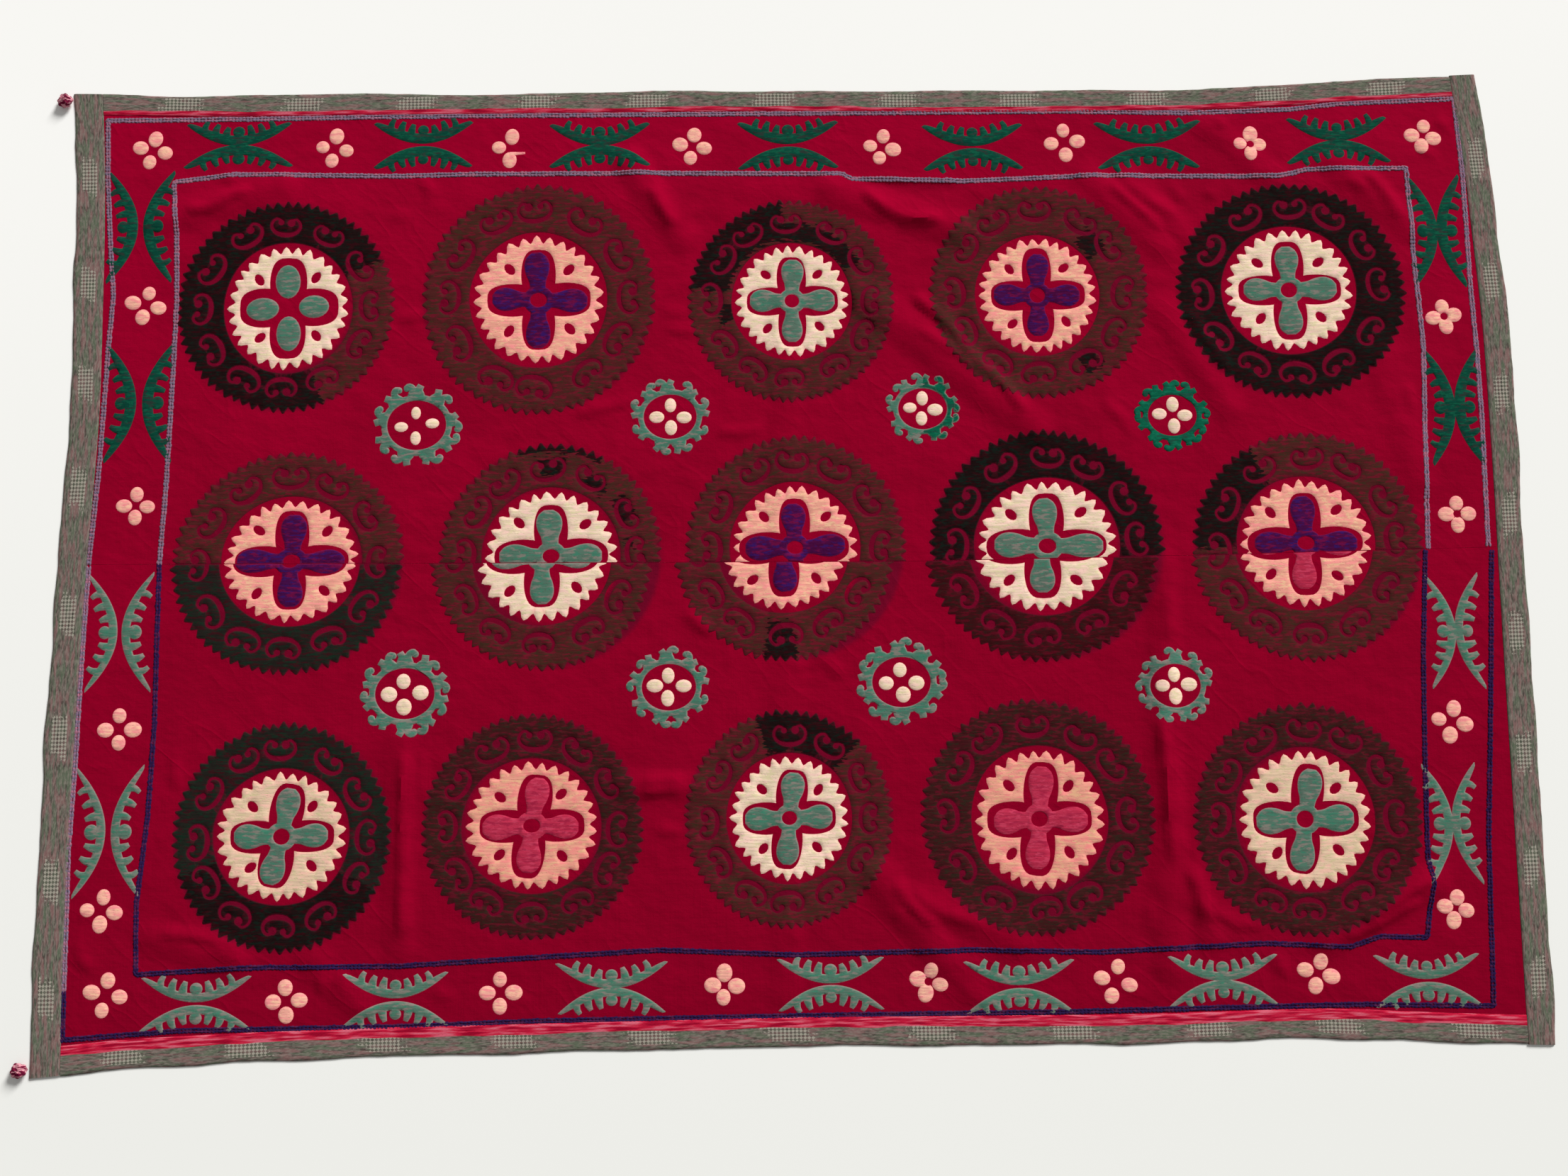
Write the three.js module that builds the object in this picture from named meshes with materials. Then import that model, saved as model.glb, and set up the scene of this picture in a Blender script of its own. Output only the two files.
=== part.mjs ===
// Suzani: a red embroidered cotton hanging, lying flat and face up.
// Two loom-width panels meet at a centre seam, and a woven tape binds all four sides.
// Millimetres, +Z up, +X along the long side. The origin is on the resting plane, at the middle.
import * as THREE from 'three'

// Driving sizes
const GROUND_THICK = 1.5
const TAPE_THICK = 2.4
const TAPE_EDGE_THICK = 1.5
const TAPE_ROLL = 7
const LEFT_TAPE = 46
const RIGHT_TAPE = 42
const TOP_TAPE = 36
const BOTTOM_TAPE = 43
const GAP = 0.3
const KNOT_HALF_LENGTH = 14
const KNOT_HALF_WIDTH = 12.5
const KNOT_HALF_HEIGHT = 8
const KNOT_LIFT = 6.5
const KNOT_LOBES = 3
const KNOT_LOBE_DEPTH = 0.09
const KNOT_INSET = 14
const RIM_FADE = 30
const EDGE_EASE = 60

// Mesh steps
const STEPS_ALONG = 60
const STEPS_PANEL = 20
const STEPS_SIDE = 40
const STEPS_TAPE = 2
const KNOT_ROUND = 18
const KNOT_RISE = 10

// The cloth's outer edges: how far out each edge lies, at places along it
const LEFT_EDGE = [
  { at: -770, off: -1135 },
  { at: -600, off: -1138 },
  { at: -230, off: -1134 },
  { at: 50, off: -1125 },
  { at: 240, off: -1116 },
  { at: 540, off: -1120 },
  { at: 700, off: -1126 },
  { at: 773, off: -1134 },
]
const RIGHT_EDGE = [
  { at: -765, off: 1136 },
  { at: -500, off: 1141 },
  { at: -140, off: 1148 },
  { at: 100, off: 1154 },
  { at: 340, off: 1157 },
  { at: 630, off: 1147 },
  { at: 762, off: 1134 },
]
const TOP_EDGE = [
  { at: -1134, off: 773 },
  { at: -900, off: 765 },
  { at: -450, off: 761 },
  { at: 0, off: 757 },
  { at: 300, off: 749 },
  { at: 680, off: 745 },
  { at: 900, off: 754 },
  { at: 1134, off: 762 },
]
const BOTTOM_EDGE = [
  { at: -1135, off: -770 },
  { at: -1010, off: -758 },
  { at: -700, off: -748 },
  { at: 0, off: -744 },
  { at: 500, off: -751 },
  { at: 800, off: -747 },
  { at: 960, off: -757 },
  { at: 1136, off: -765 },
]
const SEAM = [
  { at: -1090, off: 2 },
  { at: -450, off: -8 },
  { at: 200, off: -18 },
  { at: 650, off: -17 },
  { at: 1110, off: -13 },
]

// Creases and puckers: a soft ridge from one end to the other, with its half width and height
const FOLDS = [
  { x1: -985, y1: 555, x2: -790, y2: 612, half: 34, high: 4.5 },
  { x1: -235, y1: 640, x2: -150, y2: 510, half: 36, high: 5.5 },
  { x1: 90, y1: 585, x2: 290, y2: 515, half: 38, high: 6.5 },
  { x1: 140, y1: 405, x2: 400, y2: 188, half: 40, high: 5.5 },
  { x1: 500, y1: 605, x2: 615, y2: 480, half: 34, high: 4.5 },
  { x1: 560, y1: 600, x2: 650, y2: 500, half: 30, high: 3.5 },
  { x1: 690, y1: 690, x2: 800, y2: 590, half: 32, high: 3.5 },
  { x1: 900, y1: 612, x2: 1015, y2: 505, half: 36, high: 4.5 },
  { x1: 610, y1: 375, x2: 705, y2: 215, half: 34, high: 4.5 },
  { x1: 950, y1: 290, x2: 995, y2: 95, half: 38, high: 3.5 },
  { x1: 12, y1: 400, x2: -10, y2: -690, half: 34, high: 2.5 },
  { x1: -592, y1: -280, x2: -588, y2: -590, half: 34, high: 4.0 },
  { x1: 585, y1: -30, x2: 568, y2: -640, half: 36, high: 5.0 },
  { x1: -250, y1: -356, x2: -130, y2: -360, half: 30, high: 3.5 },
  { x1: 130, y1: -495, x2: 232, y2: -625, half: 38, high: 6.0 },
  { x1: 195, y1: -535, x2: 340, y2: -598, half: 32, high: 4.0 },
  { x1: 805, y1: -606, x2: 970, y2: -522, half: 36, high: 5.5 },
  { x1: 605, y1: -505, x2: 635, y2: -600, half: 30, high: 3.5 },
  { x1: -960, y1: -568, x2: -835, y2: -606, half: 32, high: 4.0 },
  { x1: -725, y1: -600, x2: -645, y2: -678, half: 30, high: 3.5 },
  { x1: 225, y1: -610, x2: 285, y2: -692, half: 30, high: 3.5 },
]

// The value of an edge table at a place, straight between its rows
function along(table, at) {
  let index = 0
  while (index < table.length - 2 && at > table[index + 1].at) index += 1
  const from = table[index]
  const to = table[index + 1]
  const share = THREE.MathUtils.clamp((at - from.at) / (to.at - from.at), 0, 1)
  return THREE.MathUtils.lerp(from.off, to.off, share)
}

// An edge table rounded off: the mean of three places, so that its rows leave no corners
function edge(table, at) {
  return (along(table, at - EDGE_EASE) + along(table, at) * 2 + along(table, at + EDGE_EASE)) / 4
}

const leftInner = (y) => edge(LEFT_EDGE, y) + LEFT_TAPE
const rightInner = (y) => edge(RIGHT_EDGE, y) - RIGHT_TAPE
const topInner = (x) => edge(TOP_EDGE, x) - TOP_TAPE
const bottomInner = (x) => edge(BOTTOM_EDGE, x) + BOTTOM_TAPE

// How high one fold lifts the cloth at a place
function foldHeight(fold, x, y) {
  const run = new THREE.Vector2(fold.x2 - fold.x1, fold.y2 - fold.y1)
  const length = run.length()
  run.divideScalar(length)
  const forward = (x - fold.x1) * run.x + (y - fold.y1) * run.y
  const aside = Math.abs((x - fold.x1) * run.y - (y - fold.y1) * run.x)
  const past = Math.max(-forward, forward - length, 0)
  const reach = Math.hypot(aside, past) / fold.half
  return reach < 1 ? fold.high * (1 - reach * reach) ** 2 : 0
}

// How high the cloth lies above the surface: its folds, faded out towards the tape
function clothHeight(x, y) {
  const toTape = Math.min(
    x - leftInner(y),
    rightInner(y) - x,
    topInner(x) - y,
    y - bottomInner(x),
  )
  const fade = THREE.MathUtils.smoothstep(toTape, 0, RIM_FADE)
  return fade * FOLDS.reduce((high, fold) => Math.max(high, foldHeight(fold, x, y)), 0)
}

// A closed sheet over a grid of places, between an underside and an upper side
function sheet(columns, rows, place, under, upper) {
  const positions = []
  const indices = []
  const layer = (columns + 1) * (rows + 1)
  const number = (column, row) => row * (columns + 1) + column
  for (const height of [upper, under]) {
    for (let row = 0; row <= rows; row += 1) {
      for (let column = 0; column <= columns; column += 1) {
        const [x, y] = place(column / columns, row / rows)
        positions.push(x, y, height(x, y, row / rows))
      }
    }
  }
  const quad = (a, b, c, d) => indices.push(a, b, c, a, c, d)
  for (let row = 0; row < rows; row += 1) {
    for (let column = 0; column < columns; column += 1) {
      const a = number(column, row)
      const b = number(column + 1, row)
      const c = number(column + 1, row + 1)
      const d = number(column, row + 1)
      if ((row + column) % 2 === 0) {
        quad(a, b, c, d)
        quad(layer + a, layer + d, layer + c, layer + b)
      } else {
        quad(b, c, d, a)
        quad(layer + b, layer + a, layer + d, layer + c)
      }
    }
  }
  const rim = []
  for (let column = 0; column < columns; column += 1) rim.push(number(column, 0))
  for (let row = 0; row < rows; row += 1) rim.push(number(columns, row))
  for (let column = columns; column > 0; column -= 1) rim.push(number(column, rows))
  for (let row = rows; row > 0; row -= 1) rim.push(number(0, row))
  rim.forEach((here, index) => {
    const next = rim[(index + 1) % rim.length]
    quad(layer + here, layer + next, next, here)
  })
  const geometry = new THREE.BufferGeometry()
  geometry.setAttribute('position', new THREE.Float32BufferAttribute(positions, 3))
  geometry.setIndex(indices)
  geometry.computeVertexNormals()
  return geometry
}

// A place between the side tapes, a share of the way across at a height up the cloth
function betweenTapes(y, share) {
  return THREE.MathUtils.lerp(leftInner(y) + GAP, rightInner(y) - GAP, share)
}

// One ground panel, between two edges across the cloth
function groundPanel(lower, upper) {
  const place = (across, up) => {
    const nearX = betweenTapes(0, across)
    const x = betweenTapes(THREE.MathUtils.lerp(lower(nearX), upper(nearX), up), across)
    return [x, THREE.MathUtils.lerp(lower(x), upper(x), up)]
  }
  return sheet(STEPS_ALONG, STEPS_PANEL, place, clothHeight, (x, y) => clothHeight(x, y) + GROUND_THICK)
}

// The upper side of a tape: rolled over thin at the cloth's outer edge
function tapeTop(fromEdge) {
  const rise = THREE.MathUtils.clamp(fromEdge / TAPE_ROLL, 0, 1)
  return THREE.MathUtils.lerp(TAPE_EDGE_THICK, TAPE_THICK, rise)
}

// Places across a tape: its outer edge, where its roll ends, and its inner edge
function tapeAcross(share, width) {
  return [0, TAPE_ROLL, width][Math.round(share * STEPS_TAPE)]
}

// A tape up one side of the cloth, running the whole height
function sideTape(outer, inward, width) {
  const place = (up, share) => {
    const across = tapeAcross(share, width) * inward
    const nearX = outer(0) + across
    const y = THREE.MathUtils.lerp(edge(BOTTOM_EDGE, nearX), edge(TOP_EDGE, nearX), up)
    return [outer(y) + across, y]
  }
  const flat = () => 0
  const rolled = (x, y, share) => tapeTop(tapeAcross(share, width))
  const faced = inward > 0 ? (up, share) => place(1 - up, share) : place
  return sheet(STEPS_SIDE, STEPS_TAPE, faced, flat, rolled)
}

// A tape along the top or bottom of the cloth, butted between the side tapes
function crossTape(outer, inward, width) {
  const place = (run, share) => {
    const across = tapeAcross(share, width) * inward
    const nearX = betweenTapes(0, run)
    const x = betweenTapes(outer(nearX) + across, run)
    return [x, outer(x) + across]
  }
  const flat = () => 0
  const rolled = (x, y, share) => tapeTop(tapeAcross(share, width))
  const faced = inward < 0 ? (run, share) => place(1 - run, share) : place
  return sheet(STEPS_ALONG, STEPS_TAPE, faced, flat, rolled)
}

// A small knotted loop of cloth on an outer corner of the left tape, resting on the surface
function cornerKnot(y) {
  const ball = new THREE.SphereGeometry(1, KNOT_ROUND, KNOT_RISE)
  const middle = edge(LEFT_EDGE, y) - KNOT_HALF_LENGTH - GAP
  const position = ball.attributes.position
  for (let index = 0; index < position.count; index += 1) {
    const across = position.getX(index)
    const up = position.getY(index)
    const away = position.getZ(index)
    const lobe = 1 - KNOT_LOBE_DEPTH * (1 - Math.cos(KNOT_LOBES * Math.atan2(away, across)))
    const height = Math.max(KNOT_LIFT + up * KNOT_HALF_HEIGHT, 0)
    position.setXYZ(
      index,
      middle + across * lobe * KNOT_HALF_LENGTH,
      y - away * lobe * KNOT_HALF_WIDTH,
      height,
    )
  }
  return ball
}

function material(colour, roughness) {
  return new THREE.MeshStandardMaterial({ color: colour, roughness, metalness: 0 })
}

const suzani = new THREE.Group()

function add(name, geometry, finish) {
  const mesh = new THREE.Mesh(geometry, finish)
  mesh.name = name
  suzani.add(mesh)
}

const redCotton = material(0x8b0120, 0.85)
const greyTape = material(0x706b62, 0.9)
const pinkCloth = material(0xb4607c, 0.85)

const seamAbove = (x) => edge(SEAM, x) + GAP / 2
const seamBelow = (x) => edge(SEAM, x) - GAP / 2
add('ground_upper', groundPanel(seamAbove, (x) => topInner(x) - GAP / 2), redCotton)
add('ground_lower', groundPanel((x) => bottomInner(x) + GAP / 2, seamBelow), redCotton)

add('binding_left', sideTape((y) => edge(LEFT_EDGE, y), 1, LEFT_TAPE), greyTape)
add('binding_right', sideTape((y) => edge(RIGHT_EDGE, y), -1, RIGHT_TAPE), greyTape)
add('binding_top', crossTape((x) => edge(TOP_EDGE, x), -1, TOP_TAPE - GAP / 2), greyTape)
add('binding_bottom', crossTape((x) => edge(BOTTOM_EDGE, x), 1, BOTTOM_TAPE - GAP / 2), greyTape)

add('corner_knot_upper', cornerKnot(LEFT_EDGE.at(-1).at - KNOT_INSET), pinkCloth)
add('corner_knot_lower', cornerKnot(LEFT_EDGE[0].at + KNOT_INSET), pinkCloth)

export default suzani
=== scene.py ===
"""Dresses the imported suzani: a crimson cotton cloth of two panels, embroidered and bound with woven tape.

Tables and outlines are in millimetres on the cloth, X to the right and Y up it.
Blender's objects are in metres.
"""

import math
from collections import namedtuple

import bpy
import numpy as np
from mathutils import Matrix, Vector
from mathutils.geometry import delaunay_2d_cdt


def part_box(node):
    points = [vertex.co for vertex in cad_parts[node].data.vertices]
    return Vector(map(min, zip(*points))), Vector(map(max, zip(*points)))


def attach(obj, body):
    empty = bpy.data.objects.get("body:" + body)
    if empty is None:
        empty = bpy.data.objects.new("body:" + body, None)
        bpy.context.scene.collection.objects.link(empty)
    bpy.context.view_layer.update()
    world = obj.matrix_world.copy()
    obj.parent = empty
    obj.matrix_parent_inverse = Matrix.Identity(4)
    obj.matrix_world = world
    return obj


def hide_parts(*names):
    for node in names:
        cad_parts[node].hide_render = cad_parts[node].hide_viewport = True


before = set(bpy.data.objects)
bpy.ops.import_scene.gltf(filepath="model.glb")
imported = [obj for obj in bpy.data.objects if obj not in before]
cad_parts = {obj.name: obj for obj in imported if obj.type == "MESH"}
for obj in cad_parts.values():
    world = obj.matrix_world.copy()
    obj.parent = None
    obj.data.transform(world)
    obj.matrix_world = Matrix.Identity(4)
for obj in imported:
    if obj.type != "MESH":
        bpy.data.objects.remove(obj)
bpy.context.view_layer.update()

bl_info = {
    "name": "Suzani cloth",
    "version": (1, 0, 0),
    "blender": (4, 5, 0),
    "location": "3D View > Sidebar > Suzani",
    "description": "Weaves, embroiders and binds a suzani on its packed frame",
    "category": "Object",
}

MM = 0.001
TAU = math.tau
BODY = "root"
# The first seed of each kind of piece.
SEEDS = {"rosettes": 100, "wheels": 200, "blossoms": 300, "leaves": 400, "lines": 500}
TINY = 1e-9

# The cloth's outline and pieces, as its solids have them.
GROUND_THICK = 1.5
TAPE_THICK = 2.4
TAPE_EDGE_THICK = 1.5
TAPE_ROLL = 7
LEFT_TAPE = 46
RIGHT_TAPE = 42
TOP_TAPE = 36
BOTTOM_TAPE = 43
GAP = 0.3
RIM_FADE = 30
EDGE_EASE = 60

# Columns: place along the edge, place across it.
LEFT_EDGE = (
    (-770, -1135), (-600, -1138), (-230, -1134), (50, -1125),
    (240, -1116), (540, -1120), (700, -1126), (773, -1134),
)
RIGHT_EDGE = (
    (-765, 1136), (-500, 1141), (-140, 1148), (100, 1154),
    (340, 1157), (630, 1147), (762, 1134),
)
TOP_EDGE = (
    (-1134, 773), (-900, 765), (-450, 761), (0, 757),
    (300, 749), (680, 745), (900, 754), (1134, 762),
)
BOTTOM_EDGE = (
    (-1135, -770), (-1010, -758), (-700, -748), (0, -744),
    (500, -751), (800, -747), (960, -757), (1136, -765),
)
SEAM = ((-1090, 2), (-450, -8), (200, -18), (650, -17), (1110, -13))

# Each crease runs from one place to another, so wide to each side and so high.
Crease = namedtuple("Crease", "x1 y1 x2 y2 half high")
FOLDS = tuple(
    Crease(*row)
    for row in (
        (-985, 555, -790, 612, 34, 4.5),
        (-235, 640, -150, 510, 36, 5.5),
        (90, 585, 290, 515, 38, 6.5),
        (140, 405, 400, 188, 40, 5.5),
        (500, 605, 615, 480, 34, 4.5),
        (560, 600, 650, 500, 30, 3.5),
        (690, 690, 800, 590, 32, 3.5),
        (900, 612, 1015, 505, 36, 4.5),
        (610, 375, 705, 215, 34, 4.5),
        (950, 290, 995, 95, 38, 3.5),
        (12, 400, -10, -690, 34, 2.5),
        (-592, -280, -588, -590, 34, 4.0),
        (585, -30, 568, -640, 36, 5.0),
        (-250, -356, -130, -360, 30, 3.5),
        (130, -495, 232, -625, 38, 6.0),
        (195, -535, 340, -598, 32, 4.0),
        (805, -606, 970, -522, 36, 5.5),
        (605, -505, 635, -600, 30, 3.5),
        (-960, -568, -835, -606, 32, 4.0),
        (-725, -600, -645, -678, 30, 3.5),
        (225, -610, 285, -692, 30, 3.5),
    )
)
# Finer creases that only the looks have: how high in millimetres, and the places that each runs through.
CREASES = (
    (3.0, (-950, 565), (-900, 570), (-870, 590), (-835, 600)),
    (1.5, (-900, 620), (-855, 615)),
    (1.8, (-580, 620), (-565, 600), (-555, 575)),
    (1.4, (-625, 550), (-575, 550)),
    (1.4, (-620, 380), (-555, 385)),
    (1.4, (-650, 320), (-595, 385)),
    (3.0, (-210, 600), (-195, 570), (-180, 545), (-165, 520)),
    (1.6, (-160, 545), (-115, 550)),
    (3.0, (130, 585), (150, 565), (175, 545), (205, 530), (270, 525)),
    (3.2, (205, 410), (260, 360), (300, 305), (345, 260), (385, 205)),
    (2.1, (210, 355), (260, 320), (310, 280)),
    (1.9, (270, 330), (325, 270)),
    (1.6, (-110, 190), (-60, 185), (-20, 195)),
    (1.6, (-330, 215), (-220, 245)),
    (1.4, (-195, 385), (-140, 380)),
    (1.4, (-190, 360), (-120, 345)),
    (1.4, (130, 600), (300, 590)),
    (3.0, (525, 590), (555, 560), (590, 525), (615, 500)),
    (2.0, (545, 590), (590, 555), (640, 520)),
    (1.7, (620, 590), (655, 545)),
    (1.6, (675, 575), (710, 550)),
    (2.5, (695, 700), (730, 670)),
    (1.8, (715, 700), (745, 680)),
    (2.7, (935, 600), (960, 575), (980, 540), (995, 510)),
    (2.1, (905, 590), (950, 560)),
    (1.8, (1055, 690), (1090, 655), (1095, 630)),
    (1.7, (1025, 645), (1060, 610)),
    (2.9, (640, 380), (660, 340), (685, 300), (705, 265)),
    (1.9, (495, 235), (525, 205), (550, 170)),
    (1.9, (975, 255), (985, 225), (990, 195)),
    (3.2, (-590, -290), (-590, -430), (-590, -580)),
    (2.3, (-580, -300), (-580, -400)),
    (1.9, (-565, -290), (-565, -380)),
    (2.7, (-955, -565), (-900, -570), (-860, -580), (-820, -600)),
    (1.9, (-880, -585), (-840, -600), (-820, -610)),
    (2.3, (-1085, -565), (-1070, -600), (-1045, -625)),
    (1.7, (-715, -620), (-705, -665)),
    (2.1, (-690, -625), (-665, -650)),
    (1.5, (-550, -655), (-500, -670)),
    (1.4, (-940, -285), (-935, -360)),
    (3.0, (-230, -355), (-150, -355)),
    (3.0, (-230, -370), (-150, -365)),
    (1.6, (-215, -430), (-155, -430)),
    (2.3, (-165, -90), (-135, -115), (-110, -135)),
    (1.6, (5, -190), (55, -175), (90, -205)),
    (1.6, (-290, -520), (-250, -505)),
    (3.2, (150, -505), (175, -540), (200, -565), (225, -580)),
    (2.1, (170, -510), (205, -550), (255, -570), (295, -580)),
    (1.7, (150, -545), (165, -570)),
    (1.7, (250, -615), (285, -650)),
    (1.6, (0, -565), (0, -600)),
    (3.4, (565, -260), (570, -350), (570, -420), (575, -490)),
    (2.1, (580, -320), (580, -480)),
    (2.8, (600, -495), (610, -540), (625, -580)),
    (1.7, (590, -515), (590, -565)),
    (1.7, (535, -535), (530, -590)),
    (2.0, (630, -560), (670, -585), (720, -590)),
    (3.2, (855, -590), (905, -560), (945, -535), (975, -510)),
    (3.0, (825, -610), (875, -590), (925, -565), (955, -550)),
    (2.0, (710, -620), (745, -670)),
    (1.5, (585, -60), (585, -150)),
)
# A crease's form across itself: it drops steeply on its lower left side and gently on its upper right one.
UPPER_RIGHT = (0.6, 0.8)
CREASE_FOOT = 7
CREASE_STEEP = 12
CREASE_TOP = 4
CREASE_GENTLE = 20
CREASE_END = 24
# The creases' heights are multiplied by this much, give or take the second number.
CREASE_LIFT = 1.7
CREASE_UNEVEN = 0.4
# Where dense thread puckers the ground: the share of a ring's radius, how far it fades, the puckers.
PUCKER_AT = 1.1
PUCKER_FADE = 0.13
PUCKER_COUNT = 23
# Where the ground inside a ring gets the painted shade of its threads, with their fluff: from what share of
# the ring's radius, and how softly.
RING_SHADE_FROM = 0.58
RING_SHADE_SOFT = 0.05

# Columns: name, centre, half width and height at the tooth tips, how far the medallion lies off the
# centre, its half width and height, ring thread above and below the seam, medallion thread, petal
# thread above and below the seam, how far the lower half was sewn to the left.
Rosette = namedtuple(
    "Rosette", "name x y rx ry mid_x mid_y mid_rx mid_ry ring ring_low pale petal petal_low slip"
)
ROSETTES = tuple(
    Rosette(*row)
    for row in (
        ("r1_1", -782, 410, 173, 174, 4, -2, 96, 101, "black", "", "cream", "teal", "", 0),
        ("r1_2", -381, 415, 187, 189, 0, -2, 103, 105, "brown", "", "salmon", "purple", "", 0),
        ("r1_3", 20, 405, 165, 167, 1, -2, 90, 91, "brown", "", "cream", "teal", "", 0),
        ("r1_4", 414, 411, 175, 175, -3, -6, 93, 94, "brown", "", "salmon", "purple", "", 0),
        ("r1_5", 814, 406, 183, 178, -3, 0, 101, 99, "black", "", "cream", "teal", "", 0),
        ("r2_1", -767, -2, 181, 175, 4, 3, 103, 96, "brown", "deep_green", "salmon", "purple", "purple", 3),
        ("r2_2", -361, 1, 175, 178, 0, 0, 102, 102, "brown", "brown", "cream", "teal", "teal", 14),
        ("r2_3", 19, 7, 172, 178, -1, 0, 96, 97, "brown", "brown", "salmon", "purple", "purple", 18),
        ("r2_4", 410, 3, 184, 183, 0, -1, 107, 102, "black", "maroon", "cream", "teal", "teal", 9),
        ("r2_5", 815, -5, 180, 181, -3, 4, 102, 99, "brown", "brown", "salmon", "purple", "rose", 4),
        ("r3_1", -768, -422, 168, 173, -1, 1, 97, 97, "deep_green", "", "dull_cream", "teal", "", 0),
        ("r3_2", -389, -413, 169, 171, -1, 1, 100, 96, "dark_brown", "", "dull_salmon", "rose", "", 0),
        ("r3_3", 0, -408, 160, 164, 1, 0, 90, 93, "brown", "", "cream", "teal", "", 0),
        ("r3_4", 378, -413, 178, 180, 2, -4, 98, 105, "dark_brown", "", "dull_salmon", "rose", "", 0),
        ("r3_5", 787, -425, 175, 176, -4, 0, 100, 103, "dark_brown", "", "dull_cream", "teal", "", 0),
    )
)
# Where a ring was worked in a second thread: from one angle to another in degrees, between two
# shares of its radius.
Change = namedtuple("Change", "rosette start end inner outer thread")
RING_CHANGES = tuple(
    Change(*row)
    for row in (
        ("r1_1", -68, 26, 0.55, 1.1, "brown"),
        ("r1_3", 95, 172, 0.6, 1.1, "black"),
        ("r1_3", 28, 95, 0.58, 0.76, "black"),
        ("r1_3", 183, 200, 0.58, 0.70, "black"),
        ("r1_4", 33, 53, 0.55, 0.75, "black"),
        ("r1_4", -62, -50, 0.68, 0.88, "black"),
        ("r2_2", 62, 108, 0.93, 1.1, "black"),
        ("r2_2", 82, 97, 0.73, 0.86, "black"),
        ("r2_2", 50, 66, 0.69, 0.80, "black"),
        ("r2_2", 22, 40, 0.70, 0.84, "black"),
        ("r2_2", 5, 11, 0.66, 0.74, "black"),
        ("r2_3", 258, 276, 0.66, 1.0, "black"),
        ("r2_5", 118, 181, 0.55, 1.1, "black"),
        ("r3_1", 200, 330, 0.55, 1.1, "black"),
        ("r3_3", 45, 108, 0.6, 1.1, "black"),
    )
)

# How far a rosette's upright petals lean to the right at their top, in degrees.
LEANS = {"r3_1": 11, "r3_2": 7, "r3_3": 7, "r3_4": 6, "r3_5": 9}

Wheel = namedtuple("Wheel", "name x y r thread pip_long pip_wide spikes right_thread", defaults=("",))
WHEELS = tuple(
    Wheel(*row)
    for row in (
        ("w1_1", -572, 213, 71, "wheel_teal", 10.5, 7.8, 9),
        ("w1_2", -174, 219, 64, "wheel_teal", 12.0, 9.5, 9),
        ("w1_3", 223, 224, 59, "wheel_teal", 11.5, 9.0, 9, "bright_green"),
        ("w1_4", 615, 206, 59, "bright_green", 11.5, 9.0, 10),
        ("w2_1", -585, -208, 70, "wheel_teal", 12.5, 11.5, 10),
        ("w2_2", -180, -206, 64, "wheel_teal", 12.0, 9.5, 9),
        ("w2_3", 177, -205, 69, "wheel_teal", 12.0, 11.0, 10),
        ("w2_4", 597, -219, 60, "wheel_grey", 12.0, 10.0, 9),
    )
)

# Columns: centre, turn in degrees, petals, how far out they lie.
BLOSSOMS = (
    (-1002, 674, -13, 4, 20), (-710, 671, -10, 4, 20), (-426, 666, -6, 3, 19), (-134, 664, -10, 4, 20),
    (170, 656, -11, 4, 19), (465, 659, 4, 4, 20), (764, 650, -3, 4, 15.5), (1042, 657, -10, 4, 17),
    (-1004, 416, -13, 4, 20), (-1008, 92, -3, 4, 18.5), (-1021, -255, 0, 4, 21), (-1037, -527, -6, 4, 20.5),
    (-1027, -649, -10, 4, 22), (-757, -664, 3, 4, 20), (-437, -658, 0, 4, 19.5), (-102, -654, -3, 4, 18),
    (204, -654, -15, 4, 16.5), (483, -659, -15, 4, 21), (788, -653, -15, 4, 18.5), (1054, 358, 8, 4, 16.5),
    (1050, 40, 0, 4, 16.5), (1017, -282, -12, 4, 19.5), (1001, -562, -12, 4, 17),
)
# Petals that lie no further out than this meet around a small hole.
BLOSSOM_JOINED = 16.5
BLOSSOM_HOLE = 6
# Columns: centre, turn in degrees, length, depth of each crescent, gap between their backs, thread.
LEAVES = (
    (-864, 680, 0, 172, 36, -2, "leaf_green"), (-567, 675, 0, 158, 34, 4, "leaf_green"),
    (-283, 669, 0, 164, 35, -2, "leaf_green"), (20, 663, 0, 166, 35, 4, "leaf_green"),
    (317, 654, 0, 164, 34, 3, "leaf_green"), (599, 652, 0, 168, 35, 4, "leaf_green"),
    (905, 654, 0, 166, 37, -2, "leaf_green"), (-1017, 546, 90, 190, 47, 8, "leaf_green"),
    (-1009, 257, 90, 190, 47, 9, "leaf_green"), (-1026, -105, 90, 186, 47, 6, "leaf_grey"),
    (-1032, -409, 90, 198, 47, 8, "leaf_grey"), (1054, 499, 90, 186, 40, -2, "leaf_green"),
    (1060, 210, 90, 184, 40, -2, "leaf_green"), (1033, -143, 90, 182, 41, -2, "leaf_grey"),
    (1006, -436, 90, 182, 41, -2, "leaf_grey"), (-891, -665, 0, 162, 36, 4, "leaf_grey"),
    (-593, -665, 0, 162, 36, 4, "leaf_grey"), (-270, -654, 0, 164, 37, -2, "leaf_grey"),
    (58, -655, 0, 162, 36, 2, "leaf_grey"), (340, -664, 0, 162, 35, 4, "leaf_grey"),
    (645, -661, 0, 162, 37, -2, "leaf_grey"), (951, -667, 0, 162, 35, 4, "leaf_grey"),
)
# How thick a crescent's back is, in millimetres.
LEAF_BACK = {"leaf_green": 16.5, "leaf_grey": 12.5}
# Columns: how far along a crescent's barb roots, how far along its tip lies, how high it rises, half
# its root's width.
BARBS = ((20, 15, 16, 7.2), (36, 30, 15, 7.0), (52, 46, 12, 6.0))
BARB_TIP = 3.3
# The length of leaf that the barbs and the bud are sized for.
LEAF_DRAWN = 158
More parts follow.
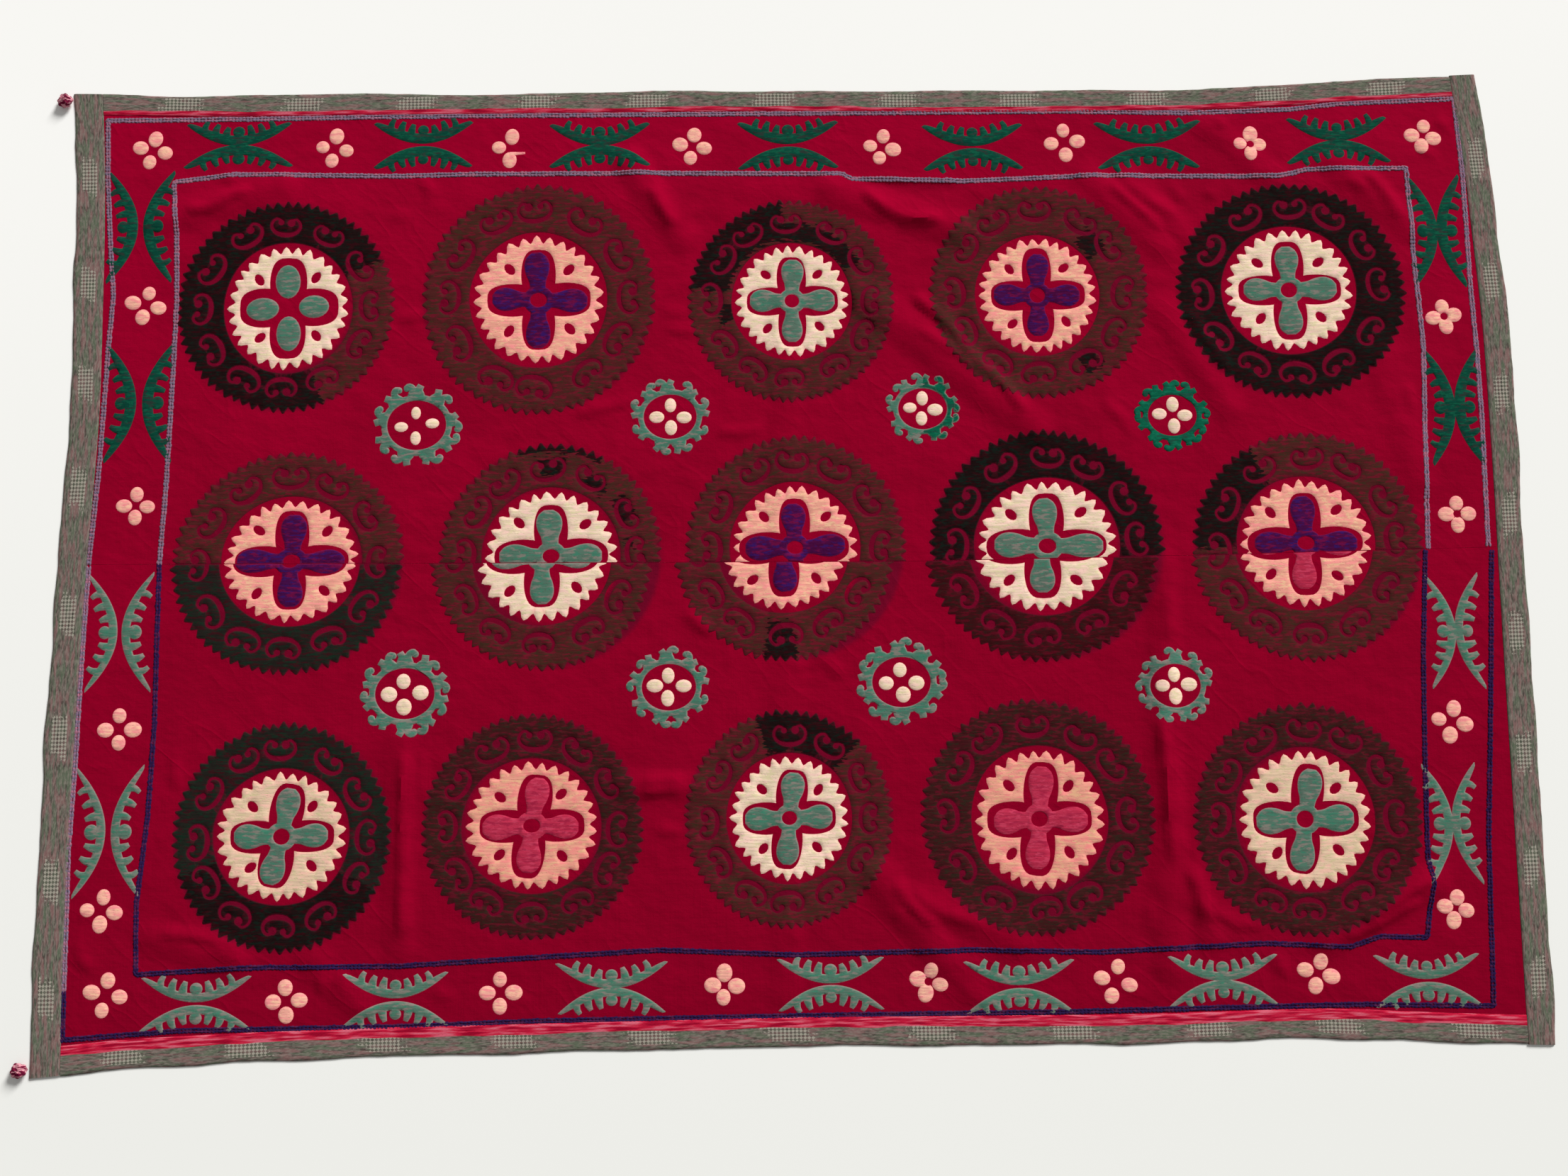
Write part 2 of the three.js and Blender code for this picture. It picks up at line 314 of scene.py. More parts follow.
# The stitched lines, each a run of places, with the thread it was worked in.
LINES = (
    ("line_inner_upper", "mauve", (
        (-968, 2), (-962, 119), (-958, 270), (-955, 425), (-959, 543), (-966, 620),
        (-869, 631), (-609, 623), (-495, 624), (-191, 620), (106, 613), (120, 604),
        (298, 597), (510, 602), (806, 595), (853, 606), (1012, 605), (1013, 464),
        (1018, 309), (1009, 156), (1001, -10),
    )),
    ("line_inner_lower", "navy", (
        (-968, -2), (-968, -92), (-967, -238), (-972, -382), (-985, -522), (-982, -621),
        (-822, -614), (-592, -616), (-376, -607), (-198, -600), (7, -611), (277, -609),
        (461, -616), (614, -611), (713, -608), (838, -615), (884, -601), (955, -604),
        (969, -525), (965, -483), (971, -348), (982, -167), (996, -20),
    )),
    ("line_outer_upper", "mauve", (
        (-1078, 4), (-1068, 152), (-1060, 363), (-1056, 434), (-1064, 517), (-1072, 624),
        (-1076, 726), (-843, 724), (-611, 724), (8, 717), (466, 712), (674, 705),
        (831, 708), (909, 716), (1098, 721), (1102, 588), (1100, 406), (1102, 300),
        (1101, 191), (1095, -8),
    )),
    ("line_outer_left", "mauve", (
        (-1078, -4), (-1082, -127), (-1086, -308), (-1091, -436), (-1090, -517), (-1089, -640),
    )),
    ("line_outer_lower", "navy", (
        (-1089, -646), (-1088, -714), (-918, -704), (-590, -704), (-376, -700), (33, -700), (415, -702),
        (735, -700), (860, -700), (1047, -706), (1055, -540), (1060, -450), (1069, -361), (1084, -198),
        (1099, -22),
    )),
)

# Shares of a rosette's radius. The medallion's own are shares of its half size, times MEDALLION_TIP.
RING_TEETH = 66
RING_TOOTH = 0.05
RING_HOLE = 0.594
MEDALLION_TEETH = 29
MEDALLION_TIP = 0.56
MEDALLION_TOOTH = 0.066
LOBE_REACH = 0.452
LOBE_LONG = 0.495
LOBE_HALF = 0.146
LOBE_PLAIN = 0.172
PIP_AT = 0.37
PIP_FAR = 0.40
PIP_LONG = 0.058
PIP_WIDE = 0.040
EYE_OUTER = 0.132
EYE_HOLE = 0.072
SCROLLS = 12
# Columns: share of the tooth's width, share of its height.
RING_TOOTH_FORM = ((0, 0), (0.2, 0.42), (0.38, 0.88), (0.5, 1), (0.62, 0.88), (0.8, 0.42))
MEDALLION_TOOTH_FORM = ((0, 0), (0.13, 0.2), (0.3, 0.7), (0.5, 1), (0.7, 0.7), (0.87, 0.2))
# Half a scroll from the middle of its arc to its eye: place along, place out, half width.
SCROLL_HALF = (
    (0.000, 0.676, 0.021), (0.065, 0.684, 0.019), (0.118, 0.712, 0.015), (0.147, 0.760, 0.0125),
    (0.138, 0.810, 0.0115), (0.102, 0.842, 0.011), (0.066, 0.832, 0.011), (0.052, 0.806, 0.012),
)
SCROLL_EYE = 0.030
# Half a petal: place out, half width.
PETAL_HALF = (
    (0.090, 0.066), (0.135, 0.068), (0.175, 0.076), (0.215, 0.093), (0.270, 0.106),
    (0.325, 0.104), (0.375, 0.080), (0.408, 0.036),
)
PETAL_LONG = 1.13
# Half sizes of the four plain petals, along and across: those to the sides, and those above and below.
PLAIN_PETALS = ((0.145, 0.098), (0.16, 0.112))
PLAIN_PETAL_AT = 0.237
# A wheel's spike, in shares of the wheel's radius: place along, place out, half width.
SPIKE_ROOT = ((0.00, 0.60, 0.200), (0.00, 0.72, 0.185), (0.00, 0.84, 0.135))
SPIKE_CURL = (
    (0.03, 0.74, 0.085), (0.07, 0.84, 0.082), (0.13, 0.91, 0.078), (0.19, 0.92, 0.074), (0.22, 0.88, 0.070),
)
SPIKE_BLUNT = ((-0.03, 0.74, 0.085), (-0.075, 0.85, 0.084), (-0.125, 0.94, 0.076))
SPIKE_EYE = 0.082
WHEEL_BAND = (0.785, 0.71)
WHEEL_HOLE = (0.65, 0.57)
PIP_SIDEWAYS = 0.34
PIP_UPWARD = 0.28

# How far embroidery keeps off the seam.
SEAM_CLEAR = 0.5
# A pad's inner points, in shares of its rounding: a row near its edge, and how clear of the edge that
# row and the field lie. The field also keeps clear by a share of its own step.
BRINK = 0.72
BRINK_CLEAR = 0.85
FIELD_CLEAR = 1.6
FIELD_STEP = 0.35
# How far a pad's edge stands above the ground, and how far it goes under it.
PAD_FOOT = 0.08
PAD_SINK = 0.45
# A wave texture's scale is this many times its bands in a full turn.
WAVE_BANDS = 20
WEAVE_THREADS = 1150
# The stage, in metres, with the sun's spread in radians and the camera's sensor in millimetres.
FLOOR_SIZE = 14
FLOOR_BELOW = 0.0004
SUN_SPREAD = 0.35
SENSOR = 36
CLIP = (0.05, 60)


def linear(red, green, blue):
    """A screen colour of 0 to 255 as linear light."""
    shares = (red / 255, green / 255, blue / 255)
    return tuple(c / 12.92 if c <= 0.04045 else ((c + 0.055) / 1.055) ** 2.4 for c in shares)


def colour(name, description, red, green, blue):
    """A colour setting with its default."""
    return bpy.props.FloatVectorProperty(
        name=name, description=description, subtype="COLOR", size=3, min=0, max=1,
        default=linear(red, green, blue),
    )


def length(name, description, millimetres):
    """A length setting with its default."""
    return bpy.props.FloatProperty(
        name=name, description=description, subtype="DISTANCE", unit="LENGTH", min=0,
        default=millimetres * MM,
    )


class SuzaniSizes(bpy.types.PropertyGroup):
    """How finely the cloth is modelled and how far its thread stands up."""

    cloth_step: length("Cloth step", "Spacing of the ground cloth's points", 6)
    tape_step: length("Tape step", "Spacing of the tape's points along it", 8)
    thread_step: length("Thread step", "Spacing of the points inside embroidery", 8)
    thread_lift: length("Thread lift", "How far embroidery stands above the ground", 0.8)
    edge_round: length("Edge round", "How far in from its edge embroidery reaches full height", 2.0)
    stitch_step: length("Stitch step", "Length of a chain stitch in the stitched lines", 5.6)
    line_width: length("Line width", "Width of the two rows of a stitched line", 8)
    pucker: length("Pucker", "Height of the soft puckers between the rosettes", 0.6)


class SuzaniColours(bpy.types.PropertyGroup):
    """The dyes of the cloth and its threads, and the painted shade that the rings' threads cast on the
    ground.
    """

    # The ground's crimson darkens from top to bottom, partly in its dye and partly as painted falloff of the
    # light.
    crimson: colour("Crimson", "Ground cloth at the top", 154, 0, 40)
    crimson_low: colour("Deep crimson", "Ground cloth at the bottom", 130, 1, 32)
    # Painted shade of the ring threads, with their fluff, on the ground between them.
    ring_shade_tone: colour("Ring shade", "Ground cloth between the threads of a ring", 102, 8, 36)
    black: colour("Black", "Blackest ring thread", 29, 14, 15)
    brown: colour("Brown", "Faded ring thread", 80, 28, 31)
    dark_brown: colour("Dark brown", "Less faded ring thread", 62, 21, 24)
    maroon: colour("Maroon", "Lower ring thread", 59, 14, 19)
    deep_green: colour("Deep green", "Green-black ring thread", 36, 27, 26)
    cream: colour("Cream", "Palest medallion thread", 237, 207, 182)
    dull_cream: colour("Dull cream", "Medallion thread of the lowest row", 224, 190, 163)
    salmon: colour("Salmon", "Pink medallion thread", 235, 157, 140)
    dull_salmon: colour("Dull salmon", "Duller pink medallion thread", 229, 150, 134)
    teal: colour("Teal", "Petal thread", 92, 104, 94)
    purple: colour("Purple", "Petal thread", 70, 10, 55)
    rose: colour("Rose", "Petal thread", 176, 42, 70)
    wheel_teal: colour("Wheel teal", "Small wheel thread", 84, 108, 96)
    wheel_grey: colour("Wheel grey", "Small wheel thread", 92, 104, 98)
    bright_green: colour("Bright green", "Small wheel thread", 10, 88, 64)
    leaf_green: colour("Leaf green", "Border leaf thread", 10, 62, 50)
    leaf_grey: colour("Leaf grey", "Faded border leaf thread", 92, 110, 98)
    blossom: colour("Blossom", "Border blossom thread", 240, 164, 150)
    mauve: colour("Mauve", "Upper stitched lines", 130, 98, 118)
    navy: colour("Navy", "Lower stitched lines", 44, 24, 64)
    tape_grey: colour("Tape grey", "Main tape thread", 110, 102, 94)
    tape_dark: colour("Tape dark", "Darker tape thread", 66, 62, 56)
    tape_light: colour("Tape light", "Pale thread of the checked patches", 168, 162, 148)
    tape_green: colour("Tape green", "Greenish tape thread", 92, 104, 84)
    tape_rose: colour("Tape rose", "Reddish tape thread", 134, 98, 96)
    tape_red: colour("Tape red", "Red thread along the tape's inner side", 186, 28, 58)
    tape_pink: colour("Tape pink", "Pink thread along the tape's inner side", 200, 92, 110)
    tape_wine: colour("Tape wine", "Deep red thread along the tape's inner side", 146, 10, 40)
    knot_pink: colour("Knot pink", "Pale stripe of the knotted cloth", 206, 140, 150)
    knot_dark: colour("Knot dark", "Dark stripe of the knotted cloth", 100, 18, 46)


class SuzaniStage(bpy.types.PropertyGroup):
    """Where the cloth is seen from and how it is lit."""

    eye: bpy.props.FloatVectorProperty(
        name="Eye", description="Camera's place", subtype="TRANSLATION", unit="LENGTH",
        default=(-0.0065, -0.3678, 2.340),
    )
    tilt: bpy.props.FloatProperty(
        name="Tilt", description="How far the camera leans from straight down", subtype="ANGLE",
        default=math.radians(7.6),
    )
    turn: bpy.props.FloatProperty(
        name="Turn", description="The camera's turn about the upright", subtype="ANGLE",
        default=math.radians(-1.12),
    )
    focal: bpy.props.FloatProperty(
        name="Focal length", description="Camera's focal length in millimetres", min=1, default=34.99,
    )
    sun: bpy.props.FloatProperty(
        name="Sun", description="Strength of the soft light from the upper right", min=0, default=4.9,
    )
    sun_turn: bpy.props.FloatProperty(
        name="Sun turn", description="Where the soft light stands about the upright", subtype="ANGLE",
        default=math.radians(53),
    )
    sun_height: bpy.props.FloatProperty(
        name="Sun height", description="How high the soft light stands", subtype="ANGLE",
        default=math.radians(27),
    )
    sky: bpy.props.FloatProperty(
        name="Sky", description="Strength of the even light from all sides", min=0, default=0.3,
    )


def along(table, at):
    """The table's value at a place along an edge, straight between its rows."""
    places, values = np.array(table, float).T
    return np.interp(at, places, values)


def edge(table, at):
    """The table's value with its corners eased."""
    return (along(table, at - EDGE_EASE) + 2 * along(table, at) + along(table, at + EDGE_EASE)) / 4


def smooth(share):
    """A soft step from 0 to 1."""
    held = np.clip(share, 0, 1)
    return held * held * (3 - 2 * held)


def left_inner(y):
    return edge(LEFT_EDGE, y) + LEFT_TAPE


def right_inner(y):
    return edge(RIGHT_EDGE, y) - RIGHT_TAPE


def top_inner(x):
    return edge(TOP_EDGE, x) - TOP_TAPE


def bottom_inner(x):
    return edge(BOTTOM_EDGE, x) + BOTTOM_TAPE


def above_seam(x):
    return edge(SEAM, x) + GAP / 2


def below_seam(x):
    return edge(SEAM, x) - GAP / 2


def ridges(x, y, rows):
    """The height of the highest of the rows' soft ridges at each place."""
    height = np.zeros(np.shape(x))
    for row in rows:
        run_x, run_y = row.x2 - row.x1, row.y2 - row.y1
        share = ((x - row.x1) * run_x + (y - row.y1) * run_y) / (run_x**2 + run_y**2)
        share = np.clip(share, 0, 1)
        away = np.hypot(x - row.x1 - share * run_x, y - row.y1 - share * run_y)
        reach = np.minimum(away / row.half, 1)
        height = np.maximum(height, row.high * (1 - reach**2) ** 2)
    return height


def waves(x, y, count, shortest, longest, seed):
    """Smooth uneven waves from -1 to 1, made of sines in seeded directions."""
    draw = np.random.default_rng(seed)
    total = np.zeros(np.shape(x))
    for _ in range(count):
        angle, phase = draw.uniform(0, TAU, 2)
        span = draw.uniform(shortest, longest)
        total += np.sin((x * math.cos(angle) + y * math.sin(angle)) * TAU / span + phase)
    return total / (count**0.5 * 1.6)


def rosette_pull(x, y):
    """How near each place is to a ring's rim, where dense thread draws the ground into short puckers."""
    pull = np.zeros(np.shape(x))
    for row in ROSETTES:
        away = np.hypot((x - row.x) / row.rx, (y - row.y) / row.ry)
        near = np.exp(-(((away - PUCKER_AT) / PUCKER_FADE) ** 2))
        angle = np.arctan2(y - row.y, x - row.x)
        pull = np.maximum(pull, near * (0.5 + 0.5 * np.sin(angle * PUCKER_COUNT + row.x)))
    return pull


def crease_form(x, y, places):
    """One crease's height from 0 to 1, steep on its lower left side and gentle on its upper right one."""
    legs = np.diff(places, axis=0)
    sizes = np.hypot(*legs.T)
    done = np.concatenate([[0], np.cumsum(sizes)])
    best, height = np.full(len(x), np.inf), np.zeros(len(x))
    for start, leg, size, before in zip(places, legs, sizes, done):
        run = leg / size
        forward = np.clip((x - start[0]) * run[0] + (y - start[1]) * run[1], 0, size)
        off_x, off_y = x - start[0] - forward * run[0], y - start[1] - forward * run[1]
        away = np.hypot(off_x, off_y)
        hand = np.sign(run[0] * UPPER_RIGHT[1] - run[1] * UPPER_RIGHT[0])
        away_up = np.where((off_y * run[0] - off_x * run[1]) * hand < 0, -away, away)
        form = smooth((away_up + CREASE_FOOT) / CREASE_STEEP)
        form = form * smooth(1 - (away_up - CREASE_TOP) / CREASE_GENTLE)
        passed = before + forward
        form = form * smooth(np.minimum(passed, done[-1] - passed) / CREASE_END)
        height = np.where(away < best, form, height)
        best = np.minimum(best, away)
    return height


def creased(x, y):
    """The height of the highest of the finer creases at each place."""
    height = np.zeros(np.shape(x))
    reach = CREASE_TOP + CREASE_GENTLE
    for high, *route in CREASES:
        places = np.array(route, float)
        low, top = places.min(axis=0) - reach, places.max(axis=0) + reach
        near = (x > low[0]) & (x < top[0]) & (y > low[1]) & (y < top[1])
        if near.any():
            height[near] = np.maximum(height[near], high * crease_form(x[near], y[near], places))
    return height * (CREASE_LIFT + CREASE_UNEVEN * waves(x, y, 10, 30, 90, 11))


def ringed(x, y):
    """How far each place lies within a ring, where the ring threads' painted shade, with their fluff, darkens
    the ground.
    """
    held = np.zeros(np.shape(x))
    for row in ROSETTES:
        away = np.hypot((x - row.x) / row.rx, (y - row.y) / row.ry)
        within = smooth((away - RING_SHADE_FROM) / RING_SHADE_SOFT) * smooth((1.0 - away) / RING_SHADE_SOFT)
        held = np.maximum(held, within)
    return held


def cloth_height(x, y):
    """How far the cloth's underside stands off the floor, in millimetres."""
    pucker = bpy.context.scene.suzani_sizes.pucker / MM
    soft = waves(x, y, 16, 60, 150, 3) * 0.6 + waves(x, y, 14, 28, 60, 5) * 0.4
    soft = pucker * (1 + np.clip(soft, -1, 1) + 0.8 * rosette_pull(x, y))
    raised = ridges(x, y, FOLDS) + creased(x, y) + soft
    sides = (x - left_inner(y), right_inner(y) - x, top_inner(x) - y, y - bottom_inner(x))
    return smooth(np.minimum.reduce(sides) / RIM_FADE) * raised


def cloth_top(x, y):
    """The height of the cloth's face, in millimetres."""
    return cloth_height(x, y) + GROUND_THICK


def deselect():
    bpy.ops.object.select_all(action="DESELECT")


def points_of(piece):
    """The piece's points as rows of x, y and z."""
    flat = np.empty(len(piece.data.vertices) * 3, np.float32)
    piece.data.vertices.foreach_get("co", flat)
    return flat.reshape(-1, 3).astype(float)


def set_points(piece, points):
    piece.data.vertices.foreach_set("co", points.astype(np.float32).ravel())
    piece.data.update()


def set_values(piece, name, values):
    """Writes one number for each point of the piece, under that name."""
    made = piece.data.attributes.new(name, "FLOAT", "POINT")
    made.data.foreach_set("value", np.asarray(values, np.float32))


def set_places(piece, name, places):
    """Writes one place for each point of the piece, under that name."""
    made = piece.data.attributes.new(name, "FLOAT_VECTOR", "POINT")
    made.data.foreach_set("vector", np.asarray(places, np.float32).ravel())


def mesh_piece(name, points, faces):
    """A new object from points in metres and faces."""
    mesh = bpy.data.meshes.new(name)
    mesh.from_pydata(points.tolist(), [], [list(face) for face in faces])
    piece = bpy.data.objects.new(name, mesh)
    bpy.context.scene.collection.objects.link(piece)
    return piece


def soften(piece, degrees):
    """Shades the piece smooth, but for edges sharper than the angle."""
    deselect()
    piece.select_set(True)
    bpy.context.view_layer.objects.active = piece
    bpy.ops.object.shade_smooth_by_angle(angle=math.radians(degrees))


def settle(piece, name, material, replaced=()):
    """Names a finished piece, gives it its material and hangs it on the frame."""
    piece.name = piece.data.name = name
    piece.data.materials.clear()
    piece.data.materials.append(material)
    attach(piece, BODY)
    if replaced:
        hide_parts(*replaced)
    return piece


def grid_piece(columns, rows, place):
    """A grid primitive whose points are put where place says, from shares of 0 to 1 across and up it."""
    deselect()
    bpy.ops.mesh.primitive_grid_add(x_subdivisions=columns, y_subdivisions=rows, size=2)
    piece = bpy.context.object
    start = points_of(piece)
    set_points(piece, place((start[:, 0] + 1) / 2, (start[:, 1] + 1) / 2) * MM)
    return piece


def apply_modifier(piece, kind, **settings):
    """Adds a modifier with its settings and applies it."""
    deselect()
    piece.select_set(True)
    bpy.context.view_layer.objects.active = piece
    modifier = piece.modifiers.new(kind.title(), kind)
    for name, value in settings.items():
        setattr(modifier, name, value)
    bpy.ops.object.modifier_apply(modifier=modifier.name)


def node(tree, kind, inputs=None, **settings):
    """A new node with its settings, and its inputs joined or set."""
    made = tree.nodes.new(kind)
    for name, value in settings.items():
        setattr(made, name, value)
    for name, value in (inputs or {}).items():
        if isinstance(value, bpy.types.NodeSocket):
            tree.links.new(value, made.inputs[name])
        else:
            made.inputs[name].default_value = value
    return made


def maths(tree, operation, first, second=0.0):
    made = node(tree, "ShaderNodeMath", {0: first, 1: second}, operation=operation)
    return made.outputs[0]


def blend(tree, share, first, second, mode="MIX"):
    """Two colours mixed by a share."""
    inputs = {0: share, 6: four(first), 7: four(second)}
    made = node(tree, "ShaderNodeMix", inputs, data_type="RGBA", blend_type=mode)
    return made.outputs[2]


def four(value):
    """A colour with its alpha, or a socket as it is."""
    return value if isinstance(value, bpy.types.NodeSocket) else (*value[:3], 1)


def span(tree, value, low, high, new_low=0.0, new_high=1.0):
    """The value's run from low to high, stretched to a new run and held there."""
    inputs = {"Value": value, "From Min": low, "From Max": high, "To Min": new_low, "To Max": new_high}
    return node(tree, "ShaderNodeMapRange", inputs, clamp=True).outputs["Result"]


def stretched(tree, place, scale, turn=0.0):
    inputs = {"Vector": place, "Scale": scale, "Rotation": (0, 0, turn)}
    return node(tree, "ShaderNodeMapping", inputs).outputs["Vector"]


def noise(tree, place, scale, detail=2.0, rough=0.5):
    inputs = {"Vector": place, "Scale": scale, "Detail": detail, "Roughness": rough}
    return node(tree, "ShaderNodeTexNoise", inputs).outputs["Fac"]


def attribute(tree, name, output="Fac"):
    return node(tree, "ShaderNodeAttribute", attribute_name=name).outputs[output]


def new_group(name, inputs, outputs):
    """An empty node group with its sockets, and the nodes that stand for them."""
    tree = bpy.data.node_groups.new(name, "ShaderNodeTree")
    for title, kind, value in inputs:
        socket = tree.interface.new_socket(name=title, in_out="INPUT", socket_type=kind)
        if value is not None:
            socket.default_value = value
    for title, kind in outputs:
        tree.interface.new_socket(name=title, in_out="OUTPUT", socket_type=kind)
    return tree, tree.nodes.new("NodeGroupInput"), tree.nodes.new("NodeGroupOutput")


def laid_thread_group():
    """Threads laid side by side across the cloth and tied down by rows of tiny stitches."""
    tree, given, made = new_group(
        "laid_thread",
        (("Place", "NodeSocketVector", None), ("Threads", "NodeSocketFloat", 760.0)),
        (
            ("Streak", "NodeSocketFloat"), ("Tie", "NodeSocketFloat"), ("Height", "NodeSocketFloat"),
            ("Drift", "NodeSocketFloat"), ("Fleck", "NodeSocketFloat"), ("Tint", "NodeSocketFloat"),
        ),
    )
    place = given.outputs["Place"]
    streak = noise(tree, stretched(tree, place, (22, 520, 520)), 1.0, 3.0, 0.6)
    tree.links.new(span(tree, streak, 0.3, 0.7), made.inputs["Streak"])
    band = maths(tree, "MULTIPLY", given.outputs["Threads"], TAU / WAVE_BANDS)
    wave = node(
        tree, "ShaderNodeTexWave",
        {"Vector": place, "Scale": band, "Distortion": 1.2, "Detail": 1.0, "Detail Scale": 0.6},
        wave_type="BANDS", bands_direction="Y",
    ).outputs["Fac"]
    ties = node(
        tree, "ShaderNodeTexVoronoi",
        {"Vector": stretched(tree, place, (190, 330, 190), 0.35), "Scale": 1.0},
    ).outputs["Distance"]
    tie = span(tree, ties, 0.12, 0.34, 1.0, 0.0)
    tree.links.new(tie, made.inputs["Tie"])
    height = maths(tree, "SUBTRACT", maths(tree, "MULTIPLY", wave, 0.6), maths(tree, "MULTIPLY", tie, 0.5))
    tree.links.new(maths(tree, "ADD", height, maths(tree, "MULTIPLY", streak, 0.8)), made.inputs["Height"])
    drift = noise(tree, stretched(tree, place, (9, 16, 9)), 1.0, 2.0)
    tree.links.new(span(tree, drift, 0.3, 0.7), made.inputs["Drift"])
    fleck = noise(tree, stretched(tree, place, (95, 300, 95)), 1.0, 2.0)
    tree.links.new(span(tree, fleck, 0.52, 0.6), made.inputs["Fleck"])
    tint = noise(tree, stretched(tree, place, (62, 210, 62), 0.12), 1.0, 2.0)
    tree.links.new(span(tree, tint, 0.52, 0.62), made.inputs["Tint"])
    return tree


def plain_weave_group():
    """Cotton in plain weave, with the thicker threads of hand spinning and fine crumples."""
    tree, given, made = new_group(
        "plain_weave",
        (("Place", "NodeSocketVector", None),),
        (
            ("Slub", "NodeSocketFloat"), ("Crumple", "NodeSocketFloat"), ("Wrinkle", "NodeSocketFloat"),
            ("Height", "NodeSocketFloat"),
        ),
    )
    place = given.outputs["Place"]
    across = noise(tree, stretched(tree, place, (14, 620, 14)), 1.0, 2.0)
    upward = noise(tree, stretched(tree, place, (560, 10, 10)), 1.0, 2.0)
    slub = maths(tree, "ADD", maths(tree, "MULTIPLY", across, 0.5), maths(tree, "MULTIPLY", upward, 0.5))
    tree.links.new(span(tree, slub, 0.35, 0.65), made.inputs["Slub"])
    crumple = noise(tree, stretched(tree, place, (26, 34, 26), 0.5), 1.0, 4.0, 0.55)
    tree.links.new(crumple, made.inputs["Crumple"])
    aslant = stretched(tree, place, (1, 1, 1), math.radians(42))
    wrinkled = noise(tree, stretched(tree, aslant, (4.5, 15, 4.5)), 1.0, 2.5, 0.55)
    off = maths(tree, "ABSOLUTE", maths(tree, "SUBTRACT", wrinkled, 0.5))
    line = maths(tree, "POWER", span(tree, off, 0.0, 0.05, 1.0, 0.0), 1.5)
    strewn = span(tree, noise(tree, stretched(tree, place, (4, 4, 4)), 1.0, 1.0), 0.4, 0.6)
    tree.links.new(maths(tree, "MULTIPLY", line, strewn), made.inputs["Wrinkle"])
    bands = {"Vector": place, "Scale": WEAVE_THREADS * TAU / WAVE_BANDS, "Distortion": 0.4}
    warp, weft = (
        node(tree, "ShaderNodeTexWave", bands, wave_type="BANDS", bands_direction=way).outputs["Fac"]
        for way in "XY"
    )
    weave = maths(tree, "MULTIPLY", warp, weft)
    tree.links.new(maths(tree, "ADD", weave, slub), made.inputs["Height"])
    return tree


def tape_weave_group():
    """A warp-faced tape: long mottled threads, and a checked patch woven at every repeat."""
    tree, given, made = new_group(
        "tape_weave",
        (
            ("Place", "NodeSocketVector", None), ("Turn", "NodeSocketFloat", 0.0),
            ("Low", "NodeSocketFloat", 0.01), ("High", "NodeSocketFloat", 0.03),
        ),
        (
            ("Warp", "NodeSocketFloat"), ("Fleck", "NodeSocketFloat"), ("Patch", "NodeSocketFloat"),
            ("Check", "NodeSocketFloat"), ("Height", "NodeSocketFloat"),
        ),
    )
    place = given.outputs["Place"]
    warp = noise(tree, stretched(tree, place, (60, 330, 1)), 1.0, 3.0, 0.6)
    tree.links.new(span(tree, warp, 0.38, 0.62), made.inputs["Warp"])
    fleck = noise(tree, stretched(tree, place, (110, 420, 1)), 1.0, 2.0)
    tree.links.new(span(tree, fleck, 0.48, 0.6), made.inputs["Fleck"])
    split = node(tree, "ShaderNodeSeparateXYZ", {0: place})
    ragged = span(tree, noise(tree, stretched(tree, place, (90, 300, 1)), 1.0), 0.3, 0.7, 0.40, 0.52)
    ragged = maths(tree, "ADD", ragged, maths(tree, "MULTIPLY", split.outputs["Y"], 2.2))
    turns = maths(tree, "FRACT", maths(tree, "ADD", given.outputs["Turn"], ragged))
    patch = maths(tree, "LESS_THAN", maths(tree, "ABSOLUTE", maths(tree, "SUBTRACT", turns, 0.5)), 0.15)
    above = maths(tree, "GREATER_THAN", split.outputs["Y"], given.outputs["Low"])
    below = maths(tree, "LESS_THAN", split.outputs["Y"], given.outputs["High"])
    patch = maths(tree, "MULTIPLY", patch, maths(tree, "MULTIPLY", above, below))
    tree.links.new(patch, made.inputs["Patch"])
    checks = node(
        tree, "ShaderNodeTexChecker",
        {"Vector": stretched(tree, place, (236, 283, 1), math.pi / 4), "Scale": 1.0},
    ).outputs["Fac"]
    tree.links.new(maths(tree, "MULTIPLY", patch, checks), made.inputs["Check"])
    tree.links.new(maths(tree, "ADD", warp, checks), made.inputs["Height"])
    return tree


def group(tree, name, inputs):
    """A placed node group, made the first time that it is asked for."""
    makers = {
        "laid_thread": laid_thread_group, "plain_weave": plain_weave_group, "tape_weave": tape_weave_group,
    }
    found = bpy.data.node_groups.get(name) or makers[name]()
    made = tree.nodes.new("ShaderNodeGroup")
    made.node_tree = found
    for title, value in inputs.items():
        if isinstance(value, bpy.types.NodeSocket):
            tree.links.new(value, made.inputs[title])
        else:
            made.inputs[title].default_value = value
    return made.outputs


def cloth_shader(name):
    """A new matt material: its tree, its shader and the object's own coordinates."""
    material = bpy.data.materials.new(name)
    material.use_nodes = True
    tree = material.node_tree
    shader = tree.nodes["Principled BSDF"]
    shader.inputs["Roughness"].default_value = 0.9
    shader.inputs["Specular IOR Level"].default_value = 0.015
    place = node(tree, "ShaderNodeTexCoord").outputs["Object"]
    return material, tree, shader, place


def bump(tree, shader, height, distance, strength=1.0):
    inputs = {"Height": height, "Distance": distance * MM, "Strength": strength}
    tree.links.new(node(tree, "ShaderNodeBump", inputs).outputs["Normal"], shader.inputs["Normal"])


def shaded(tone, factor):
    """The colour made lighter or darker."""
    return tuple(min(1.0, part * factor) for part in tone)


